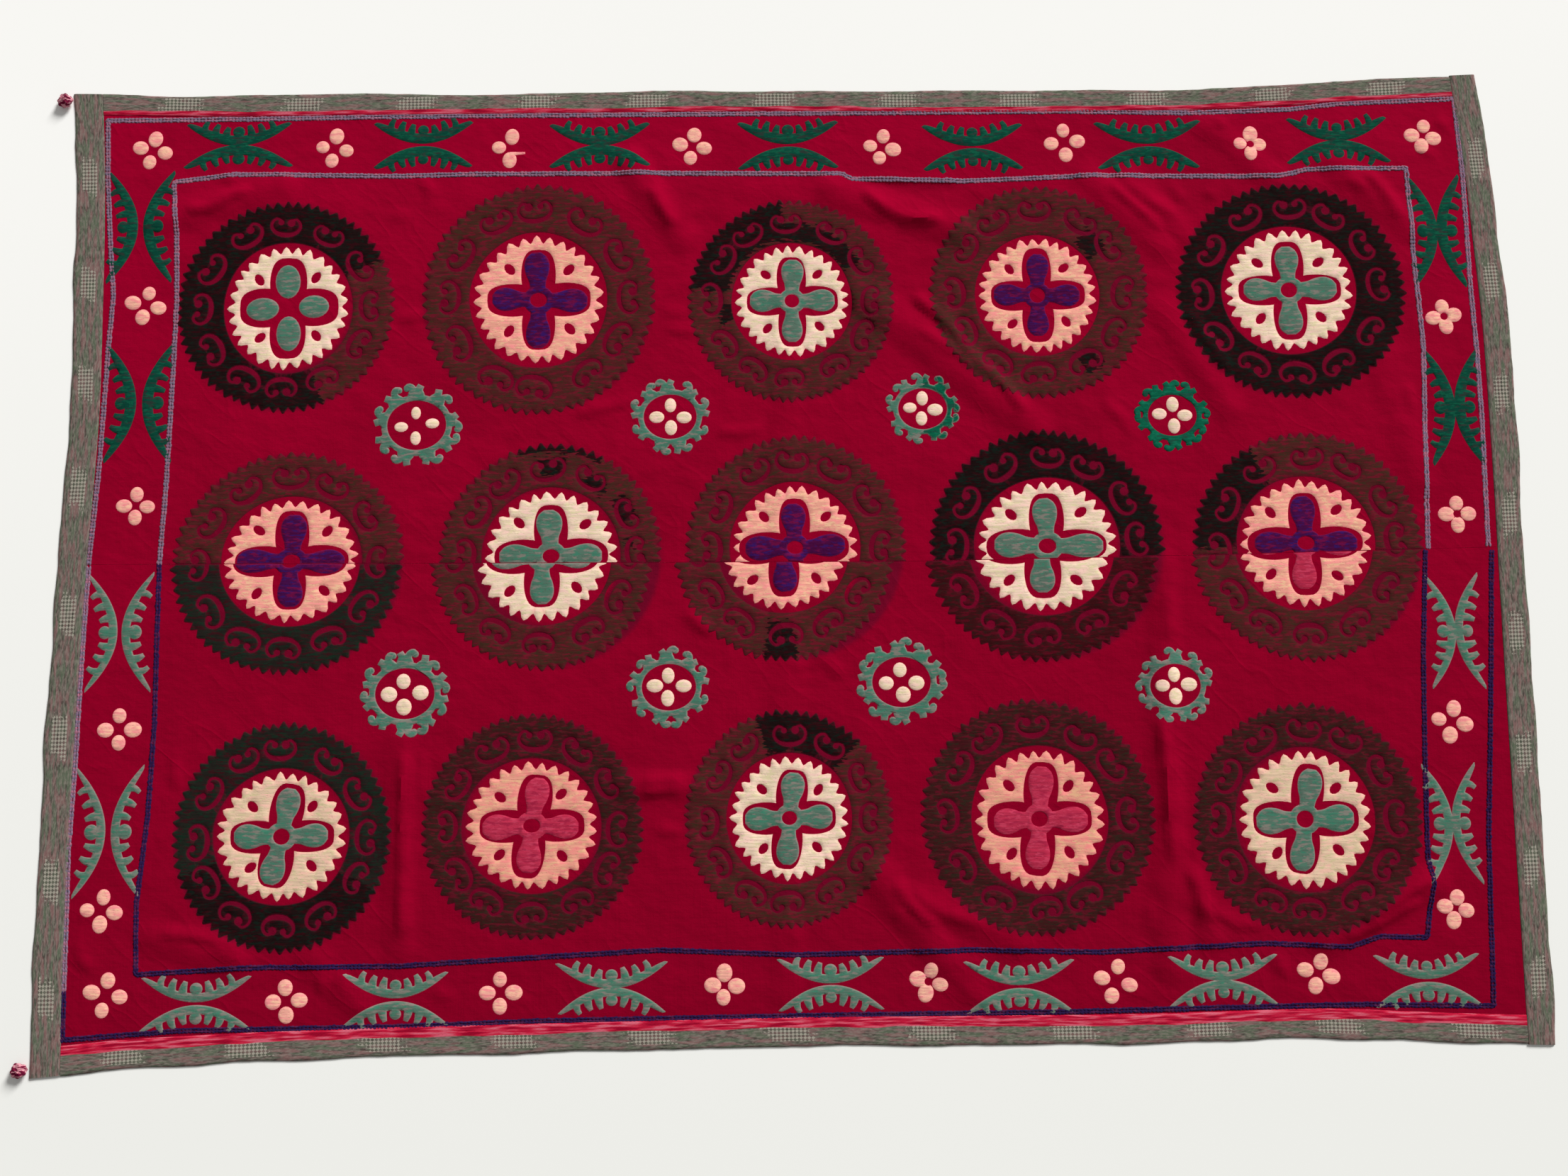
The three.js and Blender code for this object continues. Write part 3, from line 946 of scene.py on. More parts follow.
def thread_material(main, second=None):
    """Embroidery in one thread, with a second one where the piece says and a rim of another tone."""
    name = "thread_" + "_".join(part for part in (main, second) if part)
    if name in bpy.data.materials:
        return bpy.data.materials[name]
    dyes = bpy.context.scene.suzani_colours
    material, tree, shader, place = cloth_shader(name)
    threads = group(tree, "laid_thread", {"Place": place})
    ragged = noise(tree, stretched(tree, place, (60, 260, 60)), 1.0, 2.0)

    def worked(dye):
        tone = tuple(getattr(dyes, dye))
        fleck, tint, drift = FLECKS[dye]
        body = blend(tree, threads["Streak"], shaded(tone, 0.74), shaded(tone, 1.22))
        body = blend(tree, maths(tree, "MULTIPLY", threads["Drift"], drift), body, linear(*fleck))
        body = blend(tree, maths(tree, "MULTIPLY", threads["Fleck"], 0.75), body, linear(*fleck))
        body = blend(tree, maths(tree, "MULTIPLY", threads["Tint"], 0.7), body, linear(*tint))
        # The ties are painted darker: painted shade in the dips where they press the threads down.
        return blend(tree, maths(tree, "MULTIPLY", threads["Tie"], 0.35), body, shaded(tone, 0.7))

    finish = worked(main)
    if second:
        inside = maths(tree, "ADD", attribute(tree, "second"), span(tree, ragged, 0.2, 0.8, -9.0, 9.0))
        finish = blend(tree, span(tree, inside, -0.5, 0.5), finish, worked(second))
    if main in RIMS:
        rim, reach, strength = RIMS[main]
        near = span(tree, attribute(tree, "edge"), 0.3, reach, strength, 0.0)
        finish = blend(tree, near, finish, linear(*rim))
    tree.links.new(finish, shader.inputs["Base Color"])
    bump(tree, shader, threads["Height"], 0.35, 0.7)
    return material


def ground_material():
    """Crimson cotton, a little deeper towards the bottom, partly in its dye and partly as painted falloff of
    the light, and darkened inside the rings by the painted shade of their threads, with their fluff.
    """
    dyes = bpy.context.scene.suzani_colours
    material, tree, shader, place = cloth_shader("crimson_cotton")
    weave = group(tree, "plain_weave", {"Place": place})
    split = node(tree, "ShaderNodeSeparateXYZ", {0: place})
    # Deeper towards the bottom: partly the dye, partly painted falloff of the light.
    rise = span(tree, split.outputs["Y"], -0.75, 0.75)
    tone = blend(tree, rise, tuple(dyes.crimson_low), tuple(dyes.crimson))
    worn = noise(tree, stretched(tree, place, (5, 7, 5)), 1.0, 3.0)
    tone = blend(tree, span(tree, worn, 0.35, 0.65, 0.0, 0.5), tone, shaded(tuple(dyes.crimson_low), 0.92))
    tone = blend(tree, maths(tree, "MULTIPLY", weave["Slub"], 0.22), tone, shaded(tuple(dyes.crimson), 1.2))
    # Painted shade of the ring threads, with their fluff, on the ground inside the rings.
    run = maths(tree, "MULTIPLY", attribute(tree, "ringed"), span(tree, worn, 0.3, 0.7, 0.95, 0.7))
    tone = blend(tree, run, tone, tuple(dyes.ring_shade_tone))
    tree.links.new(tone, shader.inputs["Base Color"])
    height = maths(tree, "ADD", weave["Height"], maths(tree, "MULTIPLY", weave["Crumple"], 14.0))
    height = maths(tree, "ADD", height, maths(tree, "MULTIPLY", weave["Wrinkle"], 2.2))
    bump(tree, shader, height, 0.22, 0.9)
    return material


def tape_material(name, row):
    """Mottled tape whose inner side may carry a band of red, pink and wine threads."""
    dyes = bpy.context.scene.suzani_colours
    material, tree, shader, _ = cloth_shader(name)
    place = attribute(tree, "place", "Vector")
    given = {
        "Place": place, "Turn": attribute(tree, "patch_turn"),
        "Low": row.patch_low * MM, "High": row.patch_high * MM,
    }
    weave = group(tree, "tape_weave", given)
    tone = blend(tree, weave["Warp"], tuple(dyes.tape_dark), tuple(dyes.tape_grey))
    hue = noise(tree, stretched(tree, place, (26, 160, 1)), 1.0, 2.0)
    tone = blend(tree, span(tree, hue, 0.5, 0.6, 0.0, 0.75), tone, tuple(dyes.tape_green))
    tone = blend(tree, span(tree, hue, 0.5, 0.4, 0.0, 0.7), tone, tuple(dyes.tape_rose))
    tone = blend(tree, maths(tree, "MULTIPLY", weave["Fleck"], 0.5), tone, shaded(tuple(dyes.tape_grey), 1.6))
    tone = blend(tree, maths(tree, "MULTIPLY", weave["Patch"], 0.3), tone, tuple(dyes.tape_dark))
    tone = blend(tree, maths(tree, "MULTIPLY", weave["Check"], 0.75), tone, tuple(dyes.tape_light))
    if row.red_band:
        split = node(tree, "ShaderNodeSeparateXYZ", {0: place})
        wander = span(tree, noise(tree, stretched(tree, place, (9, 30, 1)), 1.0), 0.3, 0.7, -0.0022, 0.0022)
        across = maths(tree, "ADD", split.outputs["Y"], wander)
        start = (row.width - row.red_band) * MM
        band = span(tree, across, start, start + 0.001)
        stripe = noise(tree, stretched(tree, place, (22, 260, 1)), 1.0, 2.0)
        reds = blend(tree, span(tree, stripe, 0.5, 0.62), tuple(dyes.tape_red), tuple(dyes.tape_pink))
        reds = blend(tree, span(tree, stripe, 0.48, 0.38), reds, tuple(dyes.tape_wine))
        tone = blend(tree, band, tone, reds)
    tree.links.new(tone, shader.inputs["Base Color"])
    bump(tree, shader, weave["Height"], 0.4, 0.8)
    return material


def knot_material():
    """Pink and maroon striped cloth."""
    dyes = bpy.context.scene.suzani_colours
    material, tree, shader, place = cloth_shader("knotted_cloth")
    stripe = noise(tree, stretched(tree, place, (120, 260, 120), 0.7), 1.0, 2.0)
    tone = blend(tree, span(tree, stripe, 0.46, 0.54), tuple(dyes.knot_dark), tuple(dyes.knot_pink))
    tree.links.new(tone, shader.inputs["Base Color"])
    weave = group(tree, "plain_weave", {"Place": place})
    bump(tree, shader, weave["Height"], 0.2, 0.8)
    return material


def inside(points, loop):
    """Which points lie inside the closed loop."""
    x, y = points[:, :1], points[:, 1:]
    start_x, start_y = loop.T
    end_x, end_y = np.roll(loop, -1, axis=0).T
    spans = (start_y > y) != (end_y > y)
    rise = np.where(end_y == start_y, TINY, end_y - start_y)
    crossing = (end_x - start_x) * (y - start_y) / rise + start_x
    return (spans & (x < crossing)).sum(axis=1) % 2 == 1


def distance(points, starts, ends):
    """Each point's distance to the nearest of the straight pieces."""
    best = np.empty(len(points))
    run = ends - starts
    size = np.maximum((run * run).sum(axis=1), TINY)
    for first in range(0, len(points), 400):
        away = points[first:first + 400, None] - starts
        share = np.clip((away * run).sum(axis=2) / size, 0, 1)
        away = away - share[..., None] * run
        best[first:first + 400] = np.sqrt((away * away).sum(axis=2).min(axis=1))
    return best


class Shape:
    """A flat shape on the cloth: what its loops cover, less what its bare loops leave open."""

    def __init__(self, covered, bare=(), side=0):
        self.covered, self.bare, self.side = list(covered), list(bare), side
        self.loops = self.covered + self.bare
        self.low = np.min([loop.min(axis=0) for loop in self.covered], axis=0)
        self.high = np.max([loop.max(axis=0) for loop in self.covered], axis=0)

    def seam_line(self):
        """The cut along the seam, for half a rosette."""
        count = max(3, int((self.high[0] - self.low[0]) / 9))
        x = np.linspace(self.low[0] - 5, self.high[0] + 5, count)
        return np.stack([x, edge(SEAM, x) + self.side * SEAM_CLEAR], axis=1)

    def holds(self, points):
        """Which points the shape covers."""
        held = np.zeros(len(points), bool)
        for loop in self.covered:
            held |= self.near(points, loop)
        for loop in self.bare:
            held &= ~self.near(points, loop)
        if self.side:
            held &= (points[:, 1] - edge(SEAM, points[:, 0])) * self.side > SEAM_CLEAR
        return held

    @staticmethod
    def near(points, loop):
        """inside(), asked only for the points in the loop's own box."""
        boxed = ((points >= loop.min(axis=0)) & (points <= loop.max(axis=0))).all(axis=1)
        held = np.zeros(len(points), bool)
        if boxed.any():
            held[boxed] = inside(points[boxed], loop)
        return held

    def pieces(self):
        """The straight pieces of all loops, as starts and ends."""
        starts = list(self.loops)
        ends = [np.roll(loop, -1, axis=0) for loop in self.loops]
        if self.side:
            line = self.seam_line()
            starts.append(line[:-1])
            ends.append(line[1:])
        return np.vstack(starts), np.vstack(ends)

    def spread(self, step):
        """Points in even rows over the shape's box."""
        rows = np.arange(self.low[1], self.high[1], step * math.sin(math.pi / 3))
        found = []
        for number, y in enumerate(rows):
            x = np.arange(self.low[0] + step / 2 * (number % 2), self.high[0], step)
            found.append(np.stack([x, np.full(len(x), y)], axis=1))
        return np.vstack(found)


def triangles(shape, points, joins):
    """The triangles of the points that lie in the shape, with every join kept as an edge."""
    made = delaunay_2d_cdt([Vector(point) for point in points], joins, [], 0, 1e-5)
    spots = np.array(made[0], float)
    faces = np.array(made[2], int)
    return spots, faces[shape.holds(spots[faces].mean(axis=1))]


def rim_of(faces):
    """The edges that only one triangle uses, each in that triangle's direction."""
    edges = np.concatenate([faces[:, [0, 1]], faces[:, [1, 2]], faces[:, [2, 0]]])
    keys = np.sort(edges, axis=1)
    _, first, counts = np.unique(keys, axis=0, return_index=True, return_counts=True)
    return edges[first[counts == 1]]


def parted(spots, faces):
    """Gives each fan of triangles that only meets the others at a point its own copy of that point."""
    points, uses = np.unique(rim_of(faces), return_counts=True)
    for point in points[uses > 2]:
        around = list(np.where((faces == point).any(axis=1))[0])
        fans = []
        while around:
            fan = [around.pop()]
            reached = set(faces[fan[0]]) - {point}
            grown = True
            while grown:
                grown = [k for k in around if reached & (set(faces[k]) - {point})]
                for k in grown:
                    around.remove(k)
                    fan.append(k)
                    reached |= set(faces[k]) - {point}
            fans.append(fan)
        for fan in fans[1:]:
            spots = np.vstack([spots, spots[point]])
            for k in fan:
                faces[k][faces[k] == point] = len(spots) - 1
    return spots, faces


def stitched(name, shape, second=None):
    """Embroidery over a flat shape: a closed pad that follows the cloth, rounded at its edges."""
    sizes = bpy.context.scene.suzani_sizes
    step, lift, reach = sizes.thread_step / MM, sizes.thread_lift / MM, sizes.edge_round / MM
    starts, ends = shape.pieces()
    joins, corners, offset = [], [], 0
    for loop in shape.loops:
        numbers = np.arange(len(loop)) + offset
        joins += list(zip(numbers.tolist(), np.roll(numbers, -1).tolist()))
        corners.append(loop)
        offset += len(loop)
    if shape.side:
        line = shape.seam_line()
        joins += [(offset + k, offset + k + 1) for k in range(len(line) - 1)]
        corners.append(line)
    corners = np.vstack(corners)
    run = ends - starts
    normal = np.stack([-run[:, 1], run[:, 0]], axis=1)
    normal /= np.maximum(np.hypot(*normal.T), TINY)[:, None]
    middle = (starts + ends) / 2
    inset = BRINK * reach
    brink = np.vstack([middle + normal * inset, middle - normal * inset])
    brink = brink[distance(brink, starts, ends) > inset * BRINK_CLEAR]
    field = shape.spread(step)
    clear = max(inset * FIELD_CLEAR, step * FIELD_STEP)
    field = field[distance(field, starts, ends) > clear]
    extra = np.vstack([brink, field])
    spots, top = triangles(shape, np.vstack([corners, extra[shape.holds(extra)]]), joins)
    used = np.unique(top)
    numbering = np.full(len(spots), -1)
    numbering[used] = np.arange(len(used))
    spots, top = parted(spots[used], numbering[top])
    rim = rim_of(top)
    away = distance(spots, spots[rim[:, 0]], spots[rim[:, 1]])
    rise = np.sqrt(1 - (1 - np.minimum(away / reach, 1)) ** 2)
    ground = cloth_top(*spots.T)
    top_points = np.column_stack([spots, ground + PAD_FOOT + lift * rise])
    under_points = np.column_stack([spots, ground - PAD_SINK])
    shift = len(spots)
    walls = [(b, a, a + shift, b + shift) for a, b in rim]
    faces = top.tolist() + (top[:, ::-1] + shift).tolist() + walls
    piece = mesh_piece(name, np.vstack([top_points, under_points]) * MM, faces)
    set_values(piece, "edge", np.concatenate([away, np.zeros(shift)]))
    if second:
        set_values(piece, "second", np.tile(second(spots), 2))
    soften(piece, 55)
    return piece


def curve_through(points, steps):
    """A smooth line through the points, so many steps between each two."""
    given = np.asarray(points, float)
    ends = np.vstack([2 * given[0] - given[1], given, 2 * given[-1] - given[-2]])
    found = []
    for before, start, end, after in zip(ends, ends[1:], ends[2:], ends[3:]):
        for share in np.arange(steps) / steps:
            found.append(
                0.5 * (
                    2 * start + (end - before) * share
                    + (2 * before - 5 * start + 4 * end - after) * share**2
                    + (3 * start - before - 3 * end + after) * share**3
                )
            )
    return np.array(found + [given[-1]])


def stroke(rows, steps=2):
    """The closed outline of a line whose rows are place along, place out and half width."""
    line = curve_through(rows, steps)
    run = np.gradient(line[:, :2], axis=0)
    run /= np.maximum(np.hypot(*run.T), TINY)[:, None]
    aside = np.stack([-run[:, 1], run[:, 0]], axis=1) * line[:, 2:]
    return np.vstack([line[:, :2] + aside, (line[:, :2] - aside)[::-1]])


def disc(x, y, half_x, half_y, count, turn=0.0, point=1.0):
    """A closed oval, with sharper ends where point is below 1."""
    angle = np.arange(count) / count * TAU
    across = half_x * np.cos(angle)
    upward = half_y * np.sign(np.sin(angle)) * np.abs(np.sin(angle)) ** (1 / point)
    return np.stack([across, upward], axis=1) @ turned(turn).T + (x, y)


def turned(degrees):
    angle = math.radians(degrees)
    return np.array([[math.cos(angle), -math.sin(angle)], [math.sin(angle), math.cos(angle)]])


def toothed(count, tip, depth, form, draw):
    """A closed rim of uneven teeth around a circle."""
    starts = (np.arange(count) + draw.uniform(-0.12, 0.12, count)) / count * TAU
    starts = np.append(starts, starts[0] + TAU)
    found = []
    for start, end in zip(starts, starts[1:]):
        high = draw.uniform(-0.15, 0.15) * depth
        lean = draw.uniform(-0.06, 0.06)
        for share, rise in form:
            angle = start + (end - start) * (share + lean * rise)
            radius = tip - depth + (depth + high) * rise
            found.append((radius * math.cos(angle), radius * math.sin(angle)))
    return np.array(found)


def both_sides(rows):
    """A half drawn on the right, and its mirror, as rows from the left end to the right one."""
    right = np.array(rows, float)
    left = right[::-1] * (-1, 1, 1)
    return np.vstack([left, right[1:]] if right[0, 0] == 0 else [left, right])


class Frame:
    """Places shares of a circle on the cloth as an oval, with the slight unevenness of a hand-drawn one."""

    def __init__(self, x, y, half_x, half_y, draw):
        self.centre = np.array([x, y])
        self.half = np.array([half_x, half_y])
        self.swells = draw.uniform(-0.006, 0.006, 3)
        self.phases = draw.uniform(0, TAU, 3)

    def on_cloth(self, shares, slip=0.0):
        angle = np.arctan2(shares[:, 1], shares[:, 0])
        waves_of = (2, 3, 5)
        swell = sum(a * np.cos(k * angle + p) for a, k, p in zip(self.swells, waves_of, self.phases))
        return shares * (1 + swell)[:, None] * self.half + self.centre - (slip, 0)


def scroll_loops(draw):
    """The ram's-horn scrolls of bare ground around a ring."""
    found = []
    for number in range(SCROLLS):
        angle = 90 - number * 360 / SCROLLS + draw.uniform(-3, 3)
        size = draw.uniform(0.9, 1.03)
        lean = draw.uniform(-9, 9)
        rows = both_sides(SCROLL_HALF)
        middle = np.array([0, 0.765])
        rows[:, 2] *= draw.uniform(0.85, 1.08)
        rows[:, :2] = ((rows[:, :2] - middle) * size) @ turned(lean).T + middle
        eyes = draw.permutation([1.2, 0.9])
        parts = [stroke(rows)]
        for end, eye in zip((rows[0], rows[-1]), eyes):
            parts.append(disc(end[0], end[1], SCROLL_EYE * eye, SCROLL_EYE * eye, 10))
        found += [part @ turned(angle - 90).T for part in parts]
    return found


def petal_loops(draw, plain, on_seam, lean):
    """The petals of a medallion: joined to an eye, or four plain almonds."""
    found = []
    for number in range(4):
        reach, width = draw.uniform(0.95, 1.06, 2)
        turn = number * 90 + draw.uniform(-3, 3) - lean * (number % 2)
        if plain:
            half_along, half_across = PLAIN_PETALS[number % 2]
            oval = disc(PLAIN_PETAL_AT, 0, half_along * reach, half_across * width, 20)
            found.append(oval @ turned(turn).T)
            continue
        if on_seam and number % 2 == 0:
            reach *= PETAL_LONG
        half = curve_through([(out, wide * width, 0) for out, wide in PETAL_HALF], 2)[:, :2]
        half[:, 0] = 0.13 + (half[:, 0] - 0.13) * reach
        outline = np.vstack([half, (half * (1, -1))[::-1]])
        found.append(outline @ turned(turn).T)
    return found


def changes_of(name, centre, half):
    """For each place, how far inside the rosette's changed thread it lies, in millimetres."""
    rows = [row for row in RING_CHANGES if row.rosette == name]

    def depth(points):
        share = (points - centre) / half
        radius = np.hypot(*share.T)
        angle = np.degrees(np.arctan2(share[:, 1], share[:, 0]))
        best = np.full(len(points), -99.0)
        for row in rows:
            middle, spread = (row.start + row.end) / 2, (row.end - row.start) / 2
            off = np.abs((angle - middle + 180) % 360 - 180)
            sideways = np.radians(spread - off) * radius * half[0]
            outward = np.minimum(radius - row.inner, row.outer - radius) * half[0]
            best = np.maximum(best, np.minimum(sideways, outward))
        return best

    return (depth, rows[0].thread) if rows else (None, None)


# What threads show beside their own dye: a fleck and a tint, as screen colours, and how far they
# drift to the fleck.
GREY_GREENS = ((56, 122, 98), (138, 122, 116), 0.6)
FLECKS = {
    "cream": ((218, 206, 160), (248, 202, 190), 0.2), "dull_cream": ((202, 188, 144), (240, 184, 168), 0.3),
    "salmon": ((234, 192, 150), (248, 144, 146), 0.2), "dull_salmon": ((222, 176, 134), (236, 130, 130), 0.3),
    "blossom": ((242, 190, 156), (236, 128, 138), 0.3), "teal": GREY_GREENS, "wheel_teal": GREY_GREENS,
    "wheel_grey": GREY_GREENS, "leaf_grey": GREY_GREENS, "bright_green": ((20, 108, 80), (34, 62, 56), 0.3),
    "leaf_green": ((18, 88, 64), (48, 46, 46), 0.3), "purple": ((48, 24, 96), (112, 14, 58), 0.3),
    "rose": ((192, 62, 90), (150, 28, 60), 0.2), "mauve": ((108, 104, 124), (164, 100, 118), 0.3),
    "navy": ((40, 28, 70), (84, 34, 66), 0.3), "black": ((16, 30, 24), (50, 8, 16), 0.2),
    "brown": ((56, 42, 28), (112, 16, 38), 0.3), "dark_brown": ((42, 36, 26), (98, 16, 34), 0.3),
    "maroon": ((40, 26, 22), (90, 10, 28), 0.2), "deep_green": ((20, 42, 30), (58, 12, 22), 0.4),
}
# Threads whose edges show another tone: its screen colour, how far in it reaches and how much of it shows.
GREY_EDGE = ((148, 126, 122), 2.4, 0.6)
DARK_EDGE = ((92, 12, 34), 1.9, 0.65)
RIMS = {
    "cream": ((242, 184, 170), 3.2, 0.65), "dull_cream": ((234, 168, 152), 3.2, 0.6),
    "blossom": ((232, 132, 138), 2.6, 0.5), "salmon": ((240, 142, 140), 3.0, 0.5),
    "dull_salmon": ((228, 126, 126), 3.0, 0.5),
    "teal": GREY_EDGE, "wheel_teal": GREY_EDGE, "wheel_grey": GREY_EDGE, "leaf_grey": GREY_EDGE,
    "leaf_green": ((52, 70, 62), 2.0, 0.5), "purple": ((118, 24, 66), 1.8, 0.55),
    "black": DARK_EDGE, "brown": DARK_EDGE, "dark_brown": DARK_EDGE, "maroon": DARK_EDGE,
    "deep_green": DARK_EDGE,
}


def embroider(name, shape, thread, second=None, change=None):
    """Stitches one shape in its thread and hangs it on the frame."""
    piece = stitched(name, shape, change)
    settle(piece, name, thread_material(thread, second))


def medallion_openings(draw, on_seam, plain, lean):
    """The four lobes of bare ground in a medallion, and the four pips between them."""
    found = []
    for number in range(4):
        long = on_seam and number % 2 == 0
        reach = (LOBE_LONG if long else LOBE_REACH) * draw.uniform(0.97, 1.03)
        half = (LOBE_PLAIN if plain else LOBE_HALF) * draw.uniform(0.95, 1.05)
        lobe = disc(reach / 2, 0, reach / 2, half, 32, 0, 1.3 if long else 1.7)
        found.append(lobe @ turned(number * 90 - lean * (number % 2)).T)
        spot = turned(number * 90 + 45 + draw.uniform(-3, 3)) @ (PIP_FAR if on_seam else PIP_AT, 0)
        pip = disc(0, 0, PIP_LONG, PIP_WIDE, 12, number * 90 + 45 + draw.uniform(-12, 12), 0.9)
        found.append(pip + spot)
    return found


def make_rosette(row, seed):
    """A rosette's ring, medallion and petals, in halves where the seam crosses it."""
    draw = np.random.default_rng(seed)
    on_seam = bool(row.ring_low)
    outer = Frame(row.x, row.y, row.rx, row.ry, draw)
    half_x, half_y = row.mid_rx / MEDALLION_TIP, row.mid_ry / MEDALLION_TIP
    inner = Frame(row.x + row.mid_x, row.y + row.mid_y, half_x, half_y, draw)
    rim = toothed(RING_TEETH, 1.0, RING_TOOTH, RING_TOOTH_FORM, draw)
    hole = disc(0, 0, RING_HOLE, RING_HOLE, 84)
    scrolls = scroll_loops(draw)
    medallion = toothed(MEDALLION_TEETH, MEDALLION_TIP, MEDALLION_TOOTH, MEDALLION_TOOTH_FORM, draw)
    plain = row.name == "r1_1"
    lean = LEANS.get(row.name, 0)
    openings = medallion_openings(draw, on_seam, plain, lean)
    petals = petal_loops(draw, plain, on_seam, lean)
    eye = [] if plain else [disc(0, 0, EYE_OUTER, EYE_OUTER * 0.95, 30)]
    pupil = [] if plain else [disc(0, 0, EYE_HOLE, EYE_HOLE * draw.uniform(0.8, 1.0), 20)]
    halves = ((1, "_upper", row.ring, row.petal, 0), (-1, "_lower", row.ring_low, row.petal_low, row.slip))
    if not on_seam:
        halves = ((0, "", row.ring, row.petal, 0),)
    for side, ending, ring, petal, slip in halves:
        bare = [inner.on_cloth(hole, slip)] + [outer.on_cloth(loop, slip) for loop in scrolls]
        change, second = changes_of(row.name, (row.x - slip, row.y), (row.rx, row.ry))
        shape = Shape([outer.on_cloth(rim, slip)], bare, side)
        embroider("ring_" + row.name + ending, shape, ring, second, change)
        bare = [inner.on_cloth(loop, slip) for loop in openings]
        shape = Shape([inner.on_cloth(medallion, slip)], bare, side)
        embroider("medallion_" + row.name + ending, shape, row.pale)
        covered = [inner.on_cloth(loop, slip) for loop in petals + eye]
        shape = Shape(covered, [inner.on_cloth(loop, slip) for loop in pupil], side)
        embroider("petals_" + row.name + ending, shape, petal)


def make_wheel(row, seed):
    """A small wheel: a thin band with forked spikes outside and four pips inside."""
    draw = np.random.default_rng(seed)
    covered = [disc(0, 0, *WHEEL_BAND, 48)]
    hole = disc(0, 0, *WHEEL_HOLE, 48)
    for number in range(row.spikes):
        angle = number * 360 / row.spikes + draw.uniform(-5, 5)
        mirror = (draw.choice((-1, 1)), 1, 1)
        parts = [stroke(np.array(SPIKE_ROOT) * mirror)]
        for form in (SPIKE_CURL, SPIKE_BLUNT):
            rows = np.array(form) * mirror
            rows[:, :2] = (rows[:, :2] - (0, 0.7)) * draw.uniform(0.9, 1.08) + (0, 0.7)
            parts.append(stroke(rows))
            if form is SPIKE_CURL:
                parts.append(disc(rows[-1, 0], rows[-1, 1], SPIKE_EYE, SPIKE_EYE, 10))
        covered += [part @ turned(angle).T for part in parts]
    scale = np.array([row.r, row.r * 0.98])
    covered = [loop * scale + (row.x, row.y) for loop in covered]
    shape = Shape(covered, [hole * scale + (row.x, row.y)])
    to_the_right = (lambda points: points[:, 0] - row.x) if row.right_thread else None
    embroider("wheel_" + row.name, shape, row.thread, row.right_thread or None, to_the_right)
    for number in range(4):
        out = (PIP_UPWARD if number % 2 else PIP_SIDEWAYS) * row.r
        spot = turned(number * 90 + draw.uniform(-8, 8)) @ (out + draw.uniform(-1, 1), 0)
        size = draw.uniform(0.92, 1.08)
        oval = disc(0, 0, row.pip_long * size, row.pip_wide * size, 16, number * 90)
        shape = Shape([oval + spot + (row.x, row.y)])
        embroider(f"pip_{row.name}_{number + 1}", shape, "cream")


def make_blossom(x, y, turn, petals, out, name, seed):
    """The round petals of a border blossom."""
    draw = np.random.default_rng(seed)
    covered = []
    for number in range(4 - petals, 4):
        angle = turn + number * 90
        spot = turned(angle) @ (out + draw.uniform(-1.5, 1.5), 0)
        half = draw.uniform(11, 13)
        oval = disc(0, 0, half * draw.uniform(0.98, 1.1), half * 0.92, 18, angle)
        covered.append(oval + spot + (x, y))
    if petals == 3:
        covered.append(stroke([(x - 2, y - 9, 3.0), (x + 11, y - 8.5, 2.4), (x + 23, y - 8, 1.6)]))
    hole = [disc(x, y, BLOSSOM_HOLE, BLOSSOM_HOLE, 16)] if out <= BLOSSOM_JOINED else []
    embroider(name, Shape(covered, hole), "blossom")


def crescent_loops(size, depth, gap, back_thick, draw):
    """One serrated crescent above the pair's middle line: its back, its bud and its barbs."""
    half = size / 2
    u = np.linspace(-half, half, 37)
    back = gap / 2 + depth * (u / half) ** 2
    thick = back_thick * np.maximum(1 - (u / half) ** 4, 0) ** 0.6 + 0.8
    found = [np.vstack([np.stack([u, back], axis=1), np.stack([u, back + thick], axis=1)[::-1]])]
    bud = size / LEAF_DRAWN * draw.uniform(8.2, 9.6)
    found.append(disc(0, gap / 2 + back_thick + bud * 0.72, bud, bud * 0.95, 18))
    for hand in (1, -1):
        for at, tip_at, rise, root in BARBS:
            at, tip_at = at * hand * size / LEAF_DRAWN, tip_at * hand * size / LEAF_DRAWN
            base = gap / 2 + depth * (at / half) ** 2 + back_thick * 0.6
            rise = rise * draw.uniform(0.88, 1.12) + back_thick * 0.3
            rows = [(at, base, root), ((at * 1.25 + tip_at) / 2.2, base + rise * 0.55, root * 0.8)]
            rows.append((tip_at, base + rise, BARB_TIP))
            found.append(stroke(rows, 3))
    return found


def make_leaves(x, y, turn, size, depth, gap, thread, name, seed):
    """Two serrated crescents, back to back."""
    draw = np.random.default_rng(seed)
    covered = []
    for flip in (1, -1):
        for loop in crescent_loops(size * draw.uniform(0.97, 1.03), depth, gap, LEAF_BACK[thread], draw):
            covered.append((loop * (1, flip)) @ turned(turn).T + (x, y))
    embroider(name, Shape(covered), thread)


def stitch_form():
    """One chain stitch, broad at one end and pointed at the other, as points and faces."""
    deselect()
    bpy.ops.mesh.primitive_ico_sphere_add(subdivisions=1, radius=1)
    bead = bpy.context.object
    points = points_of(bead)
    points[:, 1] *= 0.8 + 0.35 * points[:, 0]
    faces = np.array([list(face.vertices) for face in bead.data.polygons])
    bpy.data.objects.remove(bead)
    return points, faces


def copies(name, form, places, turns, scales, heights):
    """A joined mesh of one form at many places on the cloth, in millimetres."""
    points, faces = form
    count = len(places)
    cosine, sine = np.cos(turns)[:, None], np.sin(turns)[:, None]
    local = points[None] * scales[:, None]
    x = local[..., 0] * cosine - local[..., 1] * sine + places[:, :1]
    y = local[..., 0] * sine + local[..., 1] * cosine + places[:, 1:]
    z = local[..., 2] + heights[:, None]
    all_points = np.stack([x, y, z], axis=2).reshape(-1, 3)
    all_faces = (faces[None] + np.arange(count)[:, None, None] * len(points)).reshape(-1, faces.shape[1])
    return mesh_piece(name, all_points * MM, all_faces)


